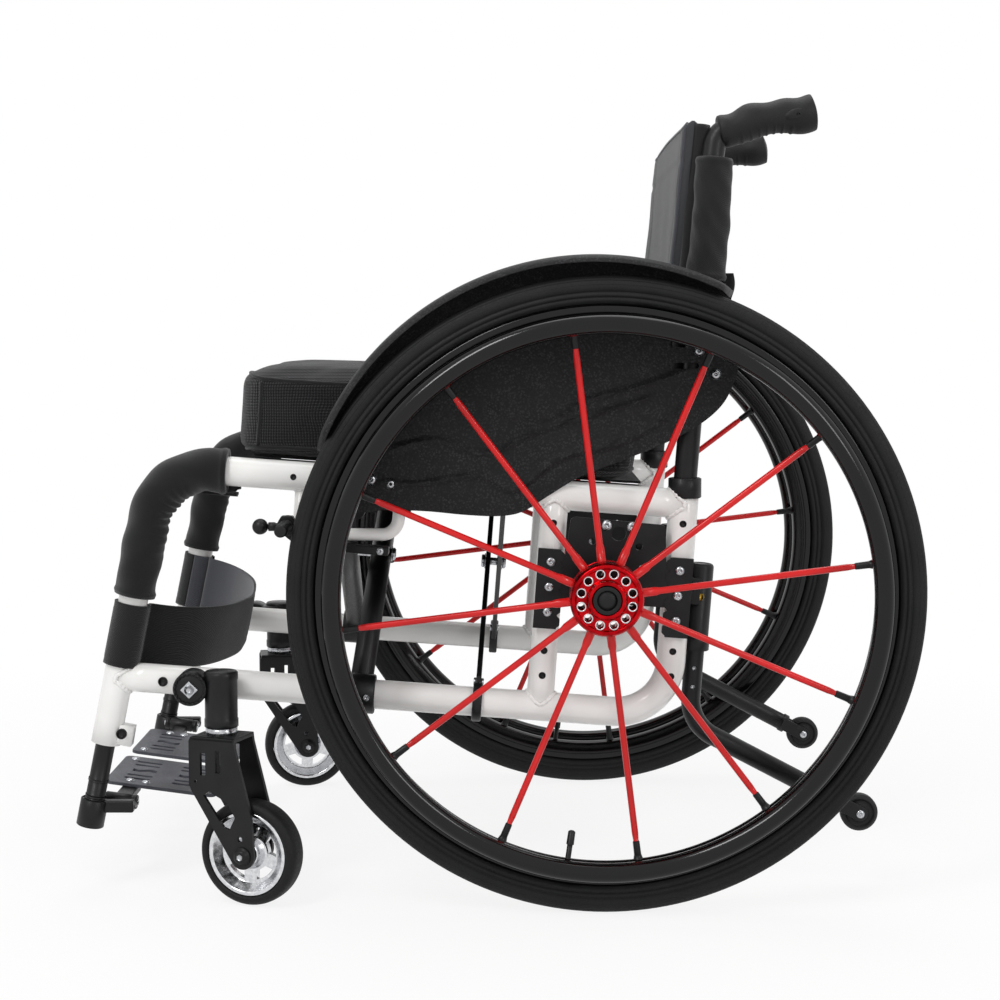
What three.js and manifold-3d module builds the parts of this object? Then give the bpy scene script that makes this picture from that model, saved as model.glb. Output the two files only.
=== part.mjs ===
// A folding manual wheelchair: two side frames joined by a scissor brace, millimetres, +Z up.
// +Y points to the rear, +X to the user's left. Heights are measured from the floor.
import * as THREE from "three";
import { mergeVertices } from "three/addons/utils/BufferGeometryUtils.js";
import Module from "manifold-3d";

const wasm = await Module();
wasm.setup();

// Overall stance
const framePitch = 4.1; // degrees the frame leans back about the rear axle
const frameHalfWidth = 205; // centre plane to each side frame's plane
const gap = 0.35; // clearance between neighbouring pieces
const runningGap = 0.4; // clearance of pieces that turn or slide

// Side frame, in its own leaning axes measured from the rear axle
const frameTubeRadius = 14;
const postRadius = 13;
const lowerTubeZ = -118;
const upperTubeZ = 86;
const innerPostY = -52;
const rearPostY = 70;
const rearBendRadius = 52;
const kneeY = -429.5; // where the leg's axis meets the upper tube's axis
const kneeBendRadius = 60;
const legLean = 7.6; // degrees between the leg and the frame's upright
const legLength = 272;
const postTopZ = 100;
const sleeveStart = 146; // along the leg from its lower end

// Rear wheel
const wheelRadius = 295;
const wheelSides = 40; // flats round the rim, tyre and handrim
const wheelPlaneX = 270;
const tyreWidth = 25;
const rimInnerRadius = 247;
const rimOuterRadius = 268;
const rimWidth = 22;
const handrimRadius = 251;
const handrimTubeRadius = 9.5;
const handrimX = 300;
const handrimTabs = 6;
const spokeCount = 12;
const spokeRadius = 3.25;
const spokeTurn = 7.2; // degrees from the rear to the first spoke
const hubRadius = 34;
const hubInnerX = 243;
const hubOuterX = 294;
const axleRadius = 6.35;
const axleInnerX = 196;
const axleCapRadius = 13;

// Caster
const casterRadius = 50;
const casterSides = 24;
const casterTyreWidth = 26;
const casterRimRadius = 40;
const casterX = 237;
const casterY = -361;
const casterTrail = 31;
const casterHousingRadius = 16;
const casterHousingBottom = 167;
const casterHousingTop = 220.4;
const casterStemRadius = 6;
const forkTop = 160;
const forkThickness = 4;
const forkInsideWidth = 34;
const casterSwivel = { left: 20, right: 9 }; // degrees each one stands turned out at rest
const casterLugY = -389;
const casterLugRadius = 16;
const casterBoltRadius = 4;

// Footrest
const footTubeRadius = 9.3;
const footTubeInsert = 55;
const footTubeEnd = 82; // length of tube below the leg's end
const footplateThickness = 3.5;
const footplateInnerX = 12;
const footplateOuterX = 130;
const footplateDepth = 112;
const footHingeX = 184;
const footHingeY = -470;
const footHingeZ = 84;
const footPinRadius = 3.5;
const footKnuckleRadius = 7;
const footKnuckleLength = 26;

// Scissor brace and seat
const braceRadius = 11;
const railRadius = 11;
const railX = 172;
const railZ = 88;
const railFrontY = -345;
const railRearY = 30;
const frontBraceY = { left: -225, right: -260 };
const rearBraceY = { left: -112, right: -100 };
const rearBarThickness = 5;
const rearBarWidth = 24;
const collarRadius = 19;
const collarLength = 30;
const rearCollarLength = 9;
const braceBoltRadius = 4;
const slingThickness = 3;
const cushionHalfWidth = 198;
const cushionFrontY = -355;
const cushionRearY = 32;
const cushionFrontHeight = 80;
const cushionRearHeight = 96;

// Backrest, canes and grips
const caneRadius = 11;
const caneSocketDepth = 55;
const caneTopX = 190;
const caneTopY = 102.2;
const caneTopZ = 702.2;
const caneCorner = { y: 105.5, z: 727 };
const gripEnd = { y: 200.5, z: 747 };
const gripRadius = 17.5;
const gripLength = 92;
const backrestBottomZ = 446;
const backrestTopZ = 742;
const backrestThickness = 19;

// Side guard
const guardThickness = 2.6;
const guardSlotHeights = [507, 527];
const guardSlotY = [65, 84];
const fenderCentre = { y: -11.6, z: 39.5 }; // from the axle
const fenderRadius = 273;
const fenderFrom = 62; // degrees from the rear
const fenderTo = 160;
const fenderOuterX = 283;

// Brake
const brakeShoeRadius = 6;
const brakeShoe = { y: -298.5, z: 357 };
const brakePivot = { y: -268, z: 331 };
const brakePivotRadius = 4;
const brakeLoopRadius = 6;
const brakeLoopFrontZ = 31;
const brakeLoopRearZ = 37;

// Anti-tipper
const antitipX = 188.5;
const antitipY = 93.6;
const receiverRadius = 12;
const receiverTop = 29;
const receiverBottom = -55;
const antitipRadius = 9.3;
const antitipCornerZ = -127.4;
const antitipBendRadius = 40;
const antitipRollerY = 264.9;
const antitipRollerZ = -202;
const rollerRadius = 18;
const rollerWidth = 15;
const rollerPinRadius = 3;

// Calf strap
const strapBottom = 228.5;
const strapHeight = 56;
const strapThickness = 3;
const strapSag = 104;

const rad = THREE.MathUtils.degToRad;
const v3 = (x, y, z) => new THREE.Vector3(x, y, z);
const pitch = rad(framePitch);

// A point given by its place over the floor, in the leaning axes of the frame.
function onFrame(x, y, z) {
  const rise = z - wheelRadius;
  return v3(
    x,
    y * Math.cos(pitch) - rise * Math.sin(pitch),
    y * Math.sin(pitch) + rise * Math.cos(pitch),
  );
}

// --- solids ---------------------------------------------------------------

// A closed geometry as a solid that can be joined and cut.
function solid(geometry) {
  const bare = new THREE.BufferGeometry();
  const open = geometry.index ? geometry.toNonIndexed() : geometry;
  bare.setAttribute("position", open.getAttribute("position").clone());
  const merged = mergeVertices(bare, 1e-3);
  return new wasm.Manifold(
    new wasm.Mesh({
      numProp: 3,
      vertProperties: new Float32Array(merged.attributes.position.array),
      triVerts: new Uint32Array(merged.index.array),
    }),
  );
}

function join(...pieces) {
  return pieces.reduce((whole, piece) => whole.add(piece));
}

function cut(piece, ...tools) {
  return tools.reduce((whole, tool) => whole.subtract(tool), piece);
}

function geometryOf(piece) {
  const mesh = piece.getMesh();
  const count = mesh.vertProperties.length / mesh.numProp;
  const positions = new Float32Array(count * 3);
  for (let i = 0; i < count; i++)
    for (let k = 0; k < 3; k++)
      positions[i * 3 + k] = mesh.vertProperties[i * mesh.numProp + k];
  const geometry = new THREE.BufferGeometry();
  geometry.setAttribute("position", new THREE.BufferAttribute(positions, 3));
  geometry.setIndex(new THREE.BufferAttribute(new Uint32Array(mesh.triVerts), 1));
  geometry.computeVertexNormals();
  return geometry;
}

// A place: turned about X by some degrees, then moved.
function placed(x, y, z, degreesAboutX = 0) {
  return new THREE.Matrix4().makeRotationX(rad(degreesAboutX)).setPosition(x, y, z);
}

// A box from its lowest to its highest corner.
function block(low, high, place = placed(0, 0, 0)) {
  const size = high.map((h, i) => h - low[i]);
  const geometry = new THREE.BoxGeometry(...size);
  geometry.translate(...low.map((l, i) => l + size[i] / 2));
  return solid(geometry.applyMatrix4(place));
}

// A round bar between two points.
function bar(from, to, radius, sides = 12) {
  const along = to.clone().sub(from);
  const geometry = new THREE.CylinderGeometry(radius, radius, along.length(), sides);
  const turn = new THREE.Quaternion().setFromUnitVectors(v3(0, 1, 0), along.clone().normalize());
  geometry.applyQuaternion(turn);
  const middle = from.clone().add(to).multiplyScalar(0.5);
  geometry.translate(middle.x, middle.y, middle.z);
  return solid(geometry);
}

function ball(centre, radius, sides = 14) {
  const geometry = new THREE.SphereGeometry(radius, sides, Math.round(sides / 2));
  geometry.translate(centre.x, centre.y, centre.z);
  return solid(geometry);
}

// A path through stations, each with its point and its direction.
class BentPath extends THREE.Curve {
  constructor(stations) {
    super();
    this.stations = stations;
  }
  station(u) {
    return this.stations[Math.round(u * (this.stations.length - 1))];
  }
  getPoint(u, target = new THREE.Vector3()) {
    return target.copy(this.station(u).point);
  }
  getPointAt(u, target = new THREE.Vector3()) {
    return target.copy(this.station(u).point);
  }
  getTangent(u, target = new THREE.Vector3()) {
    return target.copy(this.station(u).direction);
  }
  getTangentAt(u, target = new THREE.Vector3()) {
    return target.copy(this.station(u).direction);
  }
}

// A path of straight runs through corner points, with an arc of the given radius at each corner.
function bentPath(points, bends, stepsPerBend = 5) {
  const stations = [];
  points.forEach((corner, i) => {
    const before = points[i - 1];
    const after = points[i + 1];
    if (!before || !after) {
      const direction = before ? corner.clone().sub(before) : after.clone().sub(corner);
      stations.push({ point: corner.clone(), direction: direction.normalize() });
      return;
    }
    const into = corner.clone().sub(before).normalize();
    const out = after.clone().sub(corner).normalize();
    const turn = into.angleTo(out);
    const radius = bends[i - 1];
    const setback = radius * Math.tan(turn / 2);
    const axis = into.clone().cross(out).normalize();
    const inward = axis.clone().cross(into).normalize();
    const start = corner.clone().addScaledVector(into, -setback);
    const centre = start.clone().addScaledVector(inward, radius);
    for (let k = 0; k <= stepsPerBend; k++) {
      const angle = (turn * k) / stepsPerBend;
      stations.push({
        point: start.clone().sub(centre).applyAxisAngle(axis, angle).add(centre),
        direction: into.clone().applyAxisAngle(axis, angle),
      });
    }
  });
  return new BentPath(stations);
}

// A round tube, solid inside, along a bent path.
function pipe(path, radius, sides = 12) {
  const section = new THREE.Shape();
  section.absarc(0, 0, radius, 0, 2 * Math.PI, false);
  const geometry = new THREE.ExtrudeGeometry(section, {
    steps: path.stations.length - 1,
    curveSegments: sides / 2, // an arc gets two sides for each segment
    extrudePath: path,
    bevelEnabled: false,
  });
  const made = solid(geometry);
  return made.volume() < 0 ? solid(reversed(geometry)) : made;
}

function reversed(geometry) {
  const open = geometry.index ? geometry.toNonIndexed() : geometry.clone();
  const p = open.getAttribute("position");
  for (let i = 0; i < p.count; i += 3) {
    const [x, y, z] = [p.getX(i + 1), p.getY(i + 1), p.getZ(i + 1)];
    p.setXYZ(i + 1, p.getX(i + 2), p.getY(i + 2), p.getZ(i + 2));
    p.setXYZ(i + 2, x, y, z);
  }
  return open;
}

// A ring of revolution about the X axis: a closed outline of [x, radius] corners.
// Its flats lie at the stated radii, with one flat facing straight down.
function turned(outline, sides = 32, place = placed(0, 0, 0)) {
  const toCorner = 1 / Math.cos(Math.PI / sides);
  const points = [...outline, outline[0]].map(([x, r]) => new THREE.Vector2(r * toCorner, x));
  const geometry = new THREE.LatheGeometry(points, sides);
  geometry.rotateZ(-Math.PI / 2); // the lathe's +Y becomes +X
  geometry.rotateX(Math.PI / sides);
  geometry.applyMatrix4(place);
  const made = solid(geometry);
  return made.volume() < 0 ? solid(reversed(geometry)) : made;
}

// A flat plate cut to an outline of [y, z] corners, between two x values.
function plate(outline, fromX, toX, holes = [], place = placed(0, 0, 0)) {
  const shape = new THREE.Shape(outline.map(([y, z]) => new THREE.Vector2(y, z)));
  for (const hole of holes)
    shape.holes.push(new THREE.Path(hole.map(([y, z]) => new THREE.Vector2(y, z))));
  const geometry = new THREE.ExtrudeGeometry(shape, { depth: toX - fromX, bevelEnabled: false });
  geometry.rotateX(Math.PI / 2);
  geometry.rotateZ(Math.PI / 2);
  geometry.translate(fromX, 0, 0);
  return solid(geometry.applyMatrix4(place));
}

// Points on an arc, from one angle to another in degrees.
function arc(centre, radius, from, to, steps) {
  return Array.from({ length: steps + 1 }, (_, i) => {
    const angle = rad(from + ((to - from) * i) / steps);
    return [centre[0] + radius * Math.cos(angle), centre[1] + radius * Math.sin(angle)];
  });
}

const finishes = {
  frameWhite: { color: 0xe8e6e3, roughness: 0.25, metalness: 0.05 },
  satinBlack: { color: 0x17171a, roughness: 0.45, metalness: 0.2 },
  glossBlack: { color: 0x0b0b0d, roughness: 0.15, metalness: 0.3 },
  redAnodised: { color: 0xa81216, roughness: 0.3, metalness: 0.8 },
  spokeRed: { color: 0xd81e1e, roughness: 0.35, metalness: 0.2 },
  tyreRubber: { color: 0x1c1c1d, roughness: 0.8, metalness: 0 },
  gripRubber: { color: 0x18181a, roughness: 0.7, metalness: 0 },
  polished: { color: 0xd5d6d8, roughness: 0.2, metalness: 1 },
  steel: { color: 0xb8babd, roughness: 0.3, metalness: 1 },
  footplateGrey: { color: 0x4b4c53, roughness: 0.5, metalness: 0.4 },
  guardBlack: { color: 0x1e1f21, roughness: 0.65, metalness: 0 },
  neoprene: { color: 0x161617, roughness: 0.9, metalness: 0 },
  webbing: { color: 0x1a1a1c, roughness: 0.85, metalness: 0 },
  airMesh: { color: 0x1b1b1d, roughness: 0.95, metalness: 0 },
  nylon: { color: 0x2a2b2f, roughness: 0.8, metalness: 0 },
};

function add(group, name, piece, finish) {
  const mesh = new THREE.Mesh(geometryOf(piece), new THREE.MeshStandardMaterial(finishes[finish]));
  mesh.name = name;
  group.add(mesh);
  return mesh;
}

// --- side frame and what is fixed to it -----------------------------------

const legDirection = v3(0, Math.sin(rad(legLean)), Math.cos(rad(legLean)));
const kneeCorner = v3(frameHalfWidth, kneeY, upperTubeZ);
const legEnd = kneeCorner.clone().addScaledVector(legDirection, -legLength);
const legTop = (distance) => legEnd.clone().addScaledVector(legDirection, distance);
const rearTopOnFrame = v3(frameHalfWidth, rearPostY, postTopZ);

function mainTubePath() {
  return bentPath([legEnd, kneeCorner, v3(frameHalfWidth, rearPostY, upperTubeZ)], [kneeBendRadius], 6);
}

function canePath(bottomDrop) {
  const foot = v3(frameHalfWidth, rearPostY, postTopZ - bottomDrop);
  const mouth = v3(frameHalfWidth, rearPostY, postTopZ + 8);
  const top = onFrame(caneTopX, caneTopY, caneTopZ);
  const corner = onFrame(caneTopX - 3, caneCorner.y, caneCorner.z);
  const end = onFrame(caneTopX - 7, gripEnd.y - 6, gripEnd.z - 1);
  return bentPath([foot, mouth, top, corner, end], [30, 30, 20], 3);
}

function sideFrame() {
  const x = frameHalfWidth;
  const legFoot = legEnd.y + (lowerTubeZ - legEnd.z) * Math.tan(rad(legLean));
  const lowerLoop = bentPath(
    [v3(x, legFoot, lowerTubeZ), v3(x, rearPostY, lowerTubeZ), rearTopOnFrame],
    [rearBendRadius],
    6,
  );
  const innerPost = bar(v3(x, innerPostY, lowerTubeZ), v3(x, innerPostY, upperTubeZ), postRadius);
  const brakeLoop = pipe(
    bentPath(
      [
        v3(x, -293, upperTubeZ),
        v3(x, -293, brakeLoopFrontZ),
        v3(x, -199, brakeLoopRearZ),
        v3(x, -199, upperTubeZ),
      ],
      [9, 14],
      2,
    ),
    brakeLoopRadius,
    8,
  );
  // The leg's clamp ear, which grips the footrest tube.
  const earTop = legTop(21);
  const ear = block(
    [x - 8, legEnd.y, legEnd.z + 2],
    [x + 8, legEnd.y + 27, earTop.z],
  );
  const body = join(
    pipe(mainTubePath(), frameTubeRadius),
    pipe(lowerLoop, frameTubeRadius),
    innerPost,
    brakeLoop,
    ear,
  );
  const footBore = bar(legTop(-20), legTop(footTubeInsert + gap), footTubeRadius + gap);
  const socket = pipe(canePath(caneSocketDepth + gap), caneRadius + gap, 10);
  const lug = onFrame(x, casterLugY, lowerTubeHeight(casterLugY));
  const boltHole = bar(lug, v3(x + 30, lug.y, lug.z), casterBoltRadius + gap, 8);
  return cut(body, footBore, socket, boltHole);
}

// Height over the floor of the lower tube's axis, at a distance y from the rear axle.
function lowerTubeHeight(y) {
  return wheelRadius + (lowerTubeZ - y * Math.sin(pitch)) / Math.cos(pitch);
}

function axlePlate() {
  const inner = frameHalfWidth + frameTubeRadius + gap;
  const outer = inner + 4.5;
  const strip = (centreY, side) => {
    const half = postRadius;
    const band = block([inner, centreY - half, -38], [outer, centreY + half, 34]);
    const scallops = [-24, -2, 20].map((z) =>
      bar(v3(inner - 1, centreY + side * half, z), v3(outer + 1, centreY + side * half, z), 5, 6),
    );
    return cut(band, ...scallops);
  };
  const web = block([inner, innerPostY + 6, -14], [outer, rearPostY - 6, 34]);
  const tall = block(
    [inner - 12, innerPostY + 16, -14],
    [outer, rearPostY - 16, upperTubeZ - frameTubeRadius - 2],
  );
  const boss = bar(v3(inner - 14, 0, 0), v3(hubInnerX - 1, 0, 0), 12, 14);
  const bore = bar(v3(axleInnerX - 20, 0, 0), v3(hubInnerX + 5, 0, 0), axleRadius + gap);
  const lightening = bar(v3(inner - 20, 10, 55), v3(outer + 1, 10, 55), 7, 12);
  return cut(join(strip(innerPostY, 1), strip(rearPostY, -1), web, tall, boss), bore, lightening);
}

function axle() {
  const stem = bar(v3(axleInnerX, 0, 0), v3(hubOuterX - 5, 0, 0), axleRadius);
  const cap = bar(v3(hubOuterX - 5.5, 0, 0), v3(hubOuterX + 1.5, 0, 0), axleCapRadius, 16);
  return join(stem, cap);
}

function casterHousing() {
  const post = bar(
    v3(casterX, casterY, casterHousingBottom),
    v3(casterX, casterY, casterHousingTop),
    casterHousingRadius,
    16,
  );
  const lugZ = lowerTubeHeight(casterLugY);
  const lugFace = frameHalfWidth + frameTubeRadius + gap;
  const lug = bar(v3(lugFace, casterLugY, lugZ), v3(casterX + 11, casterLugY, lugZ), casterLugRadius, 14);
  const web = block([lugFace, casterLugY, lugZ - 9], [casterX + 4, casterY, casterHousingTop - 3]);
  const stemBore = bar(
    v3(casterX, casterY, casterHousingBottom - 5),
    v3(casterX, casterY, casterHousingTop - 9),
    casterStemRadius + runningGap,
  );
  const boltBore = bar(
    v3(lugFace - 5, casterLugY, lugZ),
    v3(casterX + 20, casterLugY, lugZ),
    casterBoltRadius + gap,
    8,
  );
  return cut(join(post, lug, web), stemBore, boltBore);
}

function casterBolt() {
  const z = lowerTubeHeight(casterLugY);
  const face = casterX + 11 + gap;
  const head = block([0, -6, -6], [4, 6, 6], placed(face, casterLugY, z, 45));
  return join(
    bar(v3(frameHalfWidth + 2, casterLugY, z), v3(face + 1, casterLugY, z), casterBoltRadius, 10),
    head,
  );
}

function footrestTube() {
  const down = legDirection.clone().negate();
  const bottom = legEnd.clone().addScaledVector(down, footTubeEnd - 14);
  const tube = bar(legTop(footTubeInsert), bottom, footTubeRadius);
  const hinge = onFrame(footHingeX, footHingeY, footHingeZ);
  const rise = footSlope();
  const axisAt = (distance) => hinge.clone().addScaledVector(rise, distance);
  const ends = [-1, 1].map((s) => s * (footKnuckleLength / 2 + runningGap));
  const ears = ends.map(
    (near) => bar(axisAt(near), axisAt(near + Math.sign(near) * 5), footKnuckleRadius, 10),
  );
  const pin = bar(axisAt(ends[0] - 5), axisAt(ends[1] + 5), footPinRadius, 8);
  const arms = ends.map((near) => {
    const from = axisAt(near + Math.sign(near) * 2.6);
    return bar(from, v3(frameHalfWidth, from.y, from.z), 2.4, 6);
  });
  const clamp = bar(
    bottom.clone().addScaledVector(down, -16),
    bottom.clone().addScaledVector(down, 6),
    footTubeRadius + 4,
    12,
  );
  const spine = block(
    [frameHalfWidth - 5, axisAt(ends[0] - 5).y, hinge.z - 6],
    [frameHalfWidth + 5, axisAt(ends[1] + 5).y, hinge.z + 4],
  );
  return join(tube, clamp, spine, pin, ...ears, ...arms);
}

// The footplate's fore-and-aft direction: square to the leg, falling to the rear.
function footSlope() {
  return v3(0, Math.cos(rad(legLean)), -Math.sin(rad(legLean)));
}

function footplate() {
  const t = footplateThickness;
  const front = -26;
  const slot = (x, y, length, width) => block([x - width / 2, y, -20], [x + width / 2, y + length, 20]);
  const slots = [];
  for (const row of [front + 16, front + 64])
    for (const x of [34, 48, 92, 106]) slots.push(slot(x, row, 26, 6));
  const sheet = cut(
    block([footplateInnerX, front, 0], [footplateOuterX, front + footplateDepth, t]),
    ...slots,
  );
  const hingeArm = block([footplateOuterX - 22, -9, -9], [footHingeX - footPinRadius, 9, 0.5]);
  const knuckle = bar(
    v3(footHingeX, -footKnuckleLength / 2, 0),
    v3(footHingeX, footKnuckleLength / 2, 0),
    footKnuckleRadius,
    12,
  );
  const bore = bar(v3(footHingeX, -30, 0), v3(footHingeX, 30, 0), footPinRadius + runningGap, 8);
  return cut(join(sheet, hingeArm, knuckle), bore);
}

function pushGrip() {
  const start = onFrame(caneTopX - 3.5, 112, 728.4);
  const end = onFrame(caneTopX - 7.2, gripEnd.y, gripEnd.z);
  const along = end.clone().sub(start).normalize();
  const at = (d) => end.clone().addScaledVector(along, -d);
  const core = bar(at(gripLength), end, gripRadius - 2, 12);
  const knuckleRest = bar(at(26), at(6), gripRadius, 12);
  return cut(join(core, knuckleRest), pipe(canePath(0), caneRadius + gap, 10));
}

function sideGuard() {
  const inner = frameHalfWidth + frameTubeRadius + gap;
  const centre = [fenderCentre.y, fenderCentre.z + wheelRadius];
  const rim = arc(centre, fenderRadius - 1, fenderFrom, fenderTo + 5, 15);
  const lower = [
    [-244.3, 366.7],
    [-218, 370.5],
    [-192, 371.5],
    [-145, 368],
    [-98, 364.9],
    [-82, 368],
    [-69.8, 373.5],
    [-41.6, 393.3],
    [0, 412],
    [50, 431],
    [89.6, 451.7],
    [112, 470],
    [122, 489],
    [130.9, 531],
  ];
  const slots = guardSlotHeights.map((z) =>
    arc([guardSlotY[0], z], 2.5, 90, 270, 2).concat(arc([guardSlotY[1], z], 2.5, -90, 90, 2)),
  );
  const sheet = plate([...rim, ...lower], inner, inner + guardThickness, slots);
  const flangeOutline = arc(centre, fenderRadius, fenderFrom, fenderTo, 15).concat(
    arc(centre, fenderRadius - guardThickness, fenderTo, fenderFrom, 15),
  );
  return join(sheet, plate(flangeOutline, inner, fenderOuterX));
}

function brakeBracket() {
  const x = frameHalfWidth;
  const bracketTop = brakeLoopFrontZ - brakeLoopRadius + 0.2;
  const hang = block([x - 8, -290, 17], [x + 9, -206, bracketTop]);
  const pivot = onFrame(0, brakePivot.y, brakePivot.z);
  const cheek = block([x + 5, pivot.y - 13, pivot.z - 9], [x + 15, pivot.y + 13, bracketTop]);
  const pin = bar(v3(x + 8, pivot.y, pivot.z), v3(x + 27, pivot.y, pivot.z), brakePivotRadius, 8);
  return join(hang, cheek, pin);
}

function brakeLever() {
  const pivot = onFrame(0, brakePivot.y, brakePivot.z);
  const shoe = onFrame(0, brakeShoe.y, brakeShoe.z);
  const inner = frameHalfWidth + 15 + runningGap;
  const outer = inner + 6;
  const arm = join(
    bar(v3(inner, pivot.y, pivot.z), v3(outer, pivot.y, pivot.z), 9, 10),
    bar(v3(inner + 3, pivot.y, pivot.z), v3(inner + 3, shoe.y, shoe.z), 2.9, 6),
    bar(v3(inner, shoe.y, shoe.z), v3(outer + 4, shoe.y, shoe.z), 10, 10),
  );
  const shoeBar = bar(
    v3(inner + 2, shoe.y, shoe.z),
    v3(wheelPlaneX + 12, shoe.y, shoe.z),
    brakeShoeRadius,
    10,
  );
  const knobX = frameHalfWidth + 32;
  const neck = bar(v3(knobX, shoe.y, shoe.z), v3(knobX, shoe.y - 22, shoe.z), 3, 6);
  const knob = ball(v3(knobX, shoe.y - 24, shoe.z), 7.5, 10);
  const bore = bar(
    v3(inner - 5, pivot.y, pivot.z),
    v3(outer + 8, pivot.y, pivot.z),
    brakePivotRadius + runningGap,
    8,
  );
  return cut(join(arm, shoeBar, neck, knob), bore);
}

function antitipReceiver() {
  const at = (z) => v3(antitipX, antitipY, z);
  const tube = bar(at(receiverBottom), at(receiverTop), receiverRadius, 12);
  const collar = bar(at(receiverBottom), at(receiverBottom + 12), receiverRadius + 1.5, 12);
  const bracket = block([antitipX + 2, rearPostY + 4, -10], [frameHalfWidth - 2, antitipY, 16]);
  const bore = bar(at(receiverBottom - 5), at(receiverTop - 4), antitipRadius + gap);
  const post = bar(
    v3(frameHalfWidth, rearPostY, -60),
    v3(frameHalfWidth, rearPostY, 60),
    frameTubeRadius + 2 * gap,
    14,
  );
  return cut(join(tube, collar, bracket), bore, post);
}

function antitipTube() {
  const top = v3(antitipX, antitipY, receiverTop - 40);
  const corner = v3(antitipX, antitipY, antitipCornerZ);
  const roller = v3(antitipX, antitipRollerY, antitipRollerZ);
  const along = roller.clone().sub(corner).normalize();
  const tubeEnd = roller.clone().addScaledVector(along, -rollerRadius - 4);
  const tube = pipe(bentPath([top, corner, tubeEnd], [antitipBendRadius], 4), antitipRadius, 10);
  const inside = rollerWidth / 2 + runningGap;
  const slope = Math.atan2(along.z, along.y);
  const ears = [-1, 1].map((s) => {
    const outline = arc([0, 0], 7, -90, 90, 4).concat([[-30, 7], [-30, -7]]);
    const fromX = s > 0 ? inside : -inside - 3;
    const degrees = THREE.MathUtils.radToDeg(slope);
    return plate(outline, fromX, fromX + 3, [], placed(roller.x, roller.y, roller.z, degrees));
  });
  const pin = bar(
    v3(antitipX - inside - 3, roller.y, roller.z),
    v3(antitipX + inside + 3, roller.y, roller.z),
    rollerPinRadius,
    8,
  );
  return join(tube, pin, ...ears);
}

function antitipRoller() {
  const h = rollerWidth / 2;
  const r = rollerRadius;
  return turned(
    [
      [-h, rollerPinRadius + runningGap],
      [-h, r - 3],
      [-h + 3, r],
      [h - 3, r],
      [h, r - 3],
      [h, rollerPinRadius + runningGap],
    ],
    16,
    placed(antitipX, antitipRollerY, antitipRollerZ),
  );
}

function kneeSleeve() {
  const x = frameHalfWidth;
  const lowEnd = legTop(sleeveStart);
  const path = bentPath([lowEnd, kneeCorner, v3(x, -364, upperTubeZ)], [kneeBendRadius], 6);
  const past = bentPath(
    [legTop(sleeveStart - 15), kneeCorner, v3(x, -340, upperTubeZ)],
    [kneeBendRadius],
    6,
  );
  return cut(pipe(path, frameTubeRadius + 7.5), pipe(past, frameTubeRadius + gap));
}

// --- wheels ---------------------------------------------------------------

function tyre() {
  const w = tyreWidth / 2;
  const inner = rimOuterRadius + gap;
  return turned(
    [
      [-w + 3, inner],
      [w - 3, inner],
      [w, inner + 9],
      [w - 2.5, wheelRadius - 6],
      [w - 8, wheelRadius - 0.8],
      [0, wheelRadius],
      [-w + 8, wheelRadius - 0.8],
      [-w + 2.5, wheelRadius - 6],
      [-w, inner + 9],
    ],
    wheelSides,
    placed(wheelPlaneX, 0, 0),
  );
}

function rim() {
  const w = rimWidth / 2;
  return turned(
    [
      [-w, rimOuterRadius],
      [-w, rimOuterRadius - 8],
      [-w + 4, rimInnerRadius + 2],
      [0, rimInnerRadius],
      [w - 4, rimInnerRadius + 2],
      [w, rimOuterRadius - 8],
      [w, rimOuterRadius],
    ],
    wheelSides,
    placed(wheelPlaneX, 0, 0),
  );
}

function handrim() {
  const section = Array.from({ length: 8 }, (_, i) => {
    const angle = (Math.PI * i) / 4;
    return [
      handrimX + handrimTubeRadius * Math.cos(angle),
      handrimRadius + handrimTubeRadius * Math.sin(angle),
    ];
  });
  const ring = turned(section, wheelSides);
  const rimFace = wheelPlaneX + rimWidth / 2 + gap;
  const tabs = Array.from({ length: handrimTabs }, (_, i) =>
    block(
      [rimFace, handrimRadius + 3, -5],
      [handrimX - 4, handrimRadius + 11, 5],
      placed(0, 0, 0, 22.6 + (360 / handrimTabs) * i),
    ),
  );
  return join(ring, ...tabs);
}

function spokes() {
  const seat = hubRadius + gap;
  const ring = turned(
    [
      [wheelPlaneX - 5, seat],
      [wheelPlaneX - 5, seat + 3],
      [wheelPlaneX + 5, seat + 3],
      [wheelPlaneX + 5, seat],
    ],
    24,
  );
  const rods = Array.from({ length: spokeCount }, (_, i) => {
    const angle = rad(spokeTurn + (360 / spokeCount) * i);
    const at = (r) => v3(wheelPlaneX, r * Math.cos(angle), r * Math.sin(angle));
    return bar(at(hubRadius + 2), at(rimInnerRadius - gap), spokeRadius, 6);
  });
  return join(ring, ...rods);
}

function hub() {
  const bore = axleRadius + runningGap;
  const capBore = axleCapRadius + runningGap;
  return turned(
    [
      [hubInnerX, bore],
      [hubInnerX, 14],
      [256, 16],
      [262, hubRadius],
      [hubOuterX - 6, hubRadius],
      [hubOuterX - 3, hubRadius - 2.5],
      [hubOuterX - 3, hubRadius - 5],
      [hubOuterX - 8, hubRadius - 7],
      [hubOuterX - 8, 18],
      [hubOuterX, 16.5],
      [hubOuterX, capBore],
      [hubOuterX - 6, capBore],
      [hubOuterX - 6, bore],
    ],
    24,
  );
}

// --- caster, in axes through its swivel stem and the floor ------------------

function casterStem() {
  const ring = bar(v3(0, 0, forkTop + gap), v3(0, 0, casterHousingBottom - gap), casterHousingRadius - 1, 16);
  const stem = bar(v3(0, 0, forkTop - 6), v3(0, 0, casterHousingTop - 10), casterStemRadius, 10);
  return join(ring, stem);
}

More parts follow.
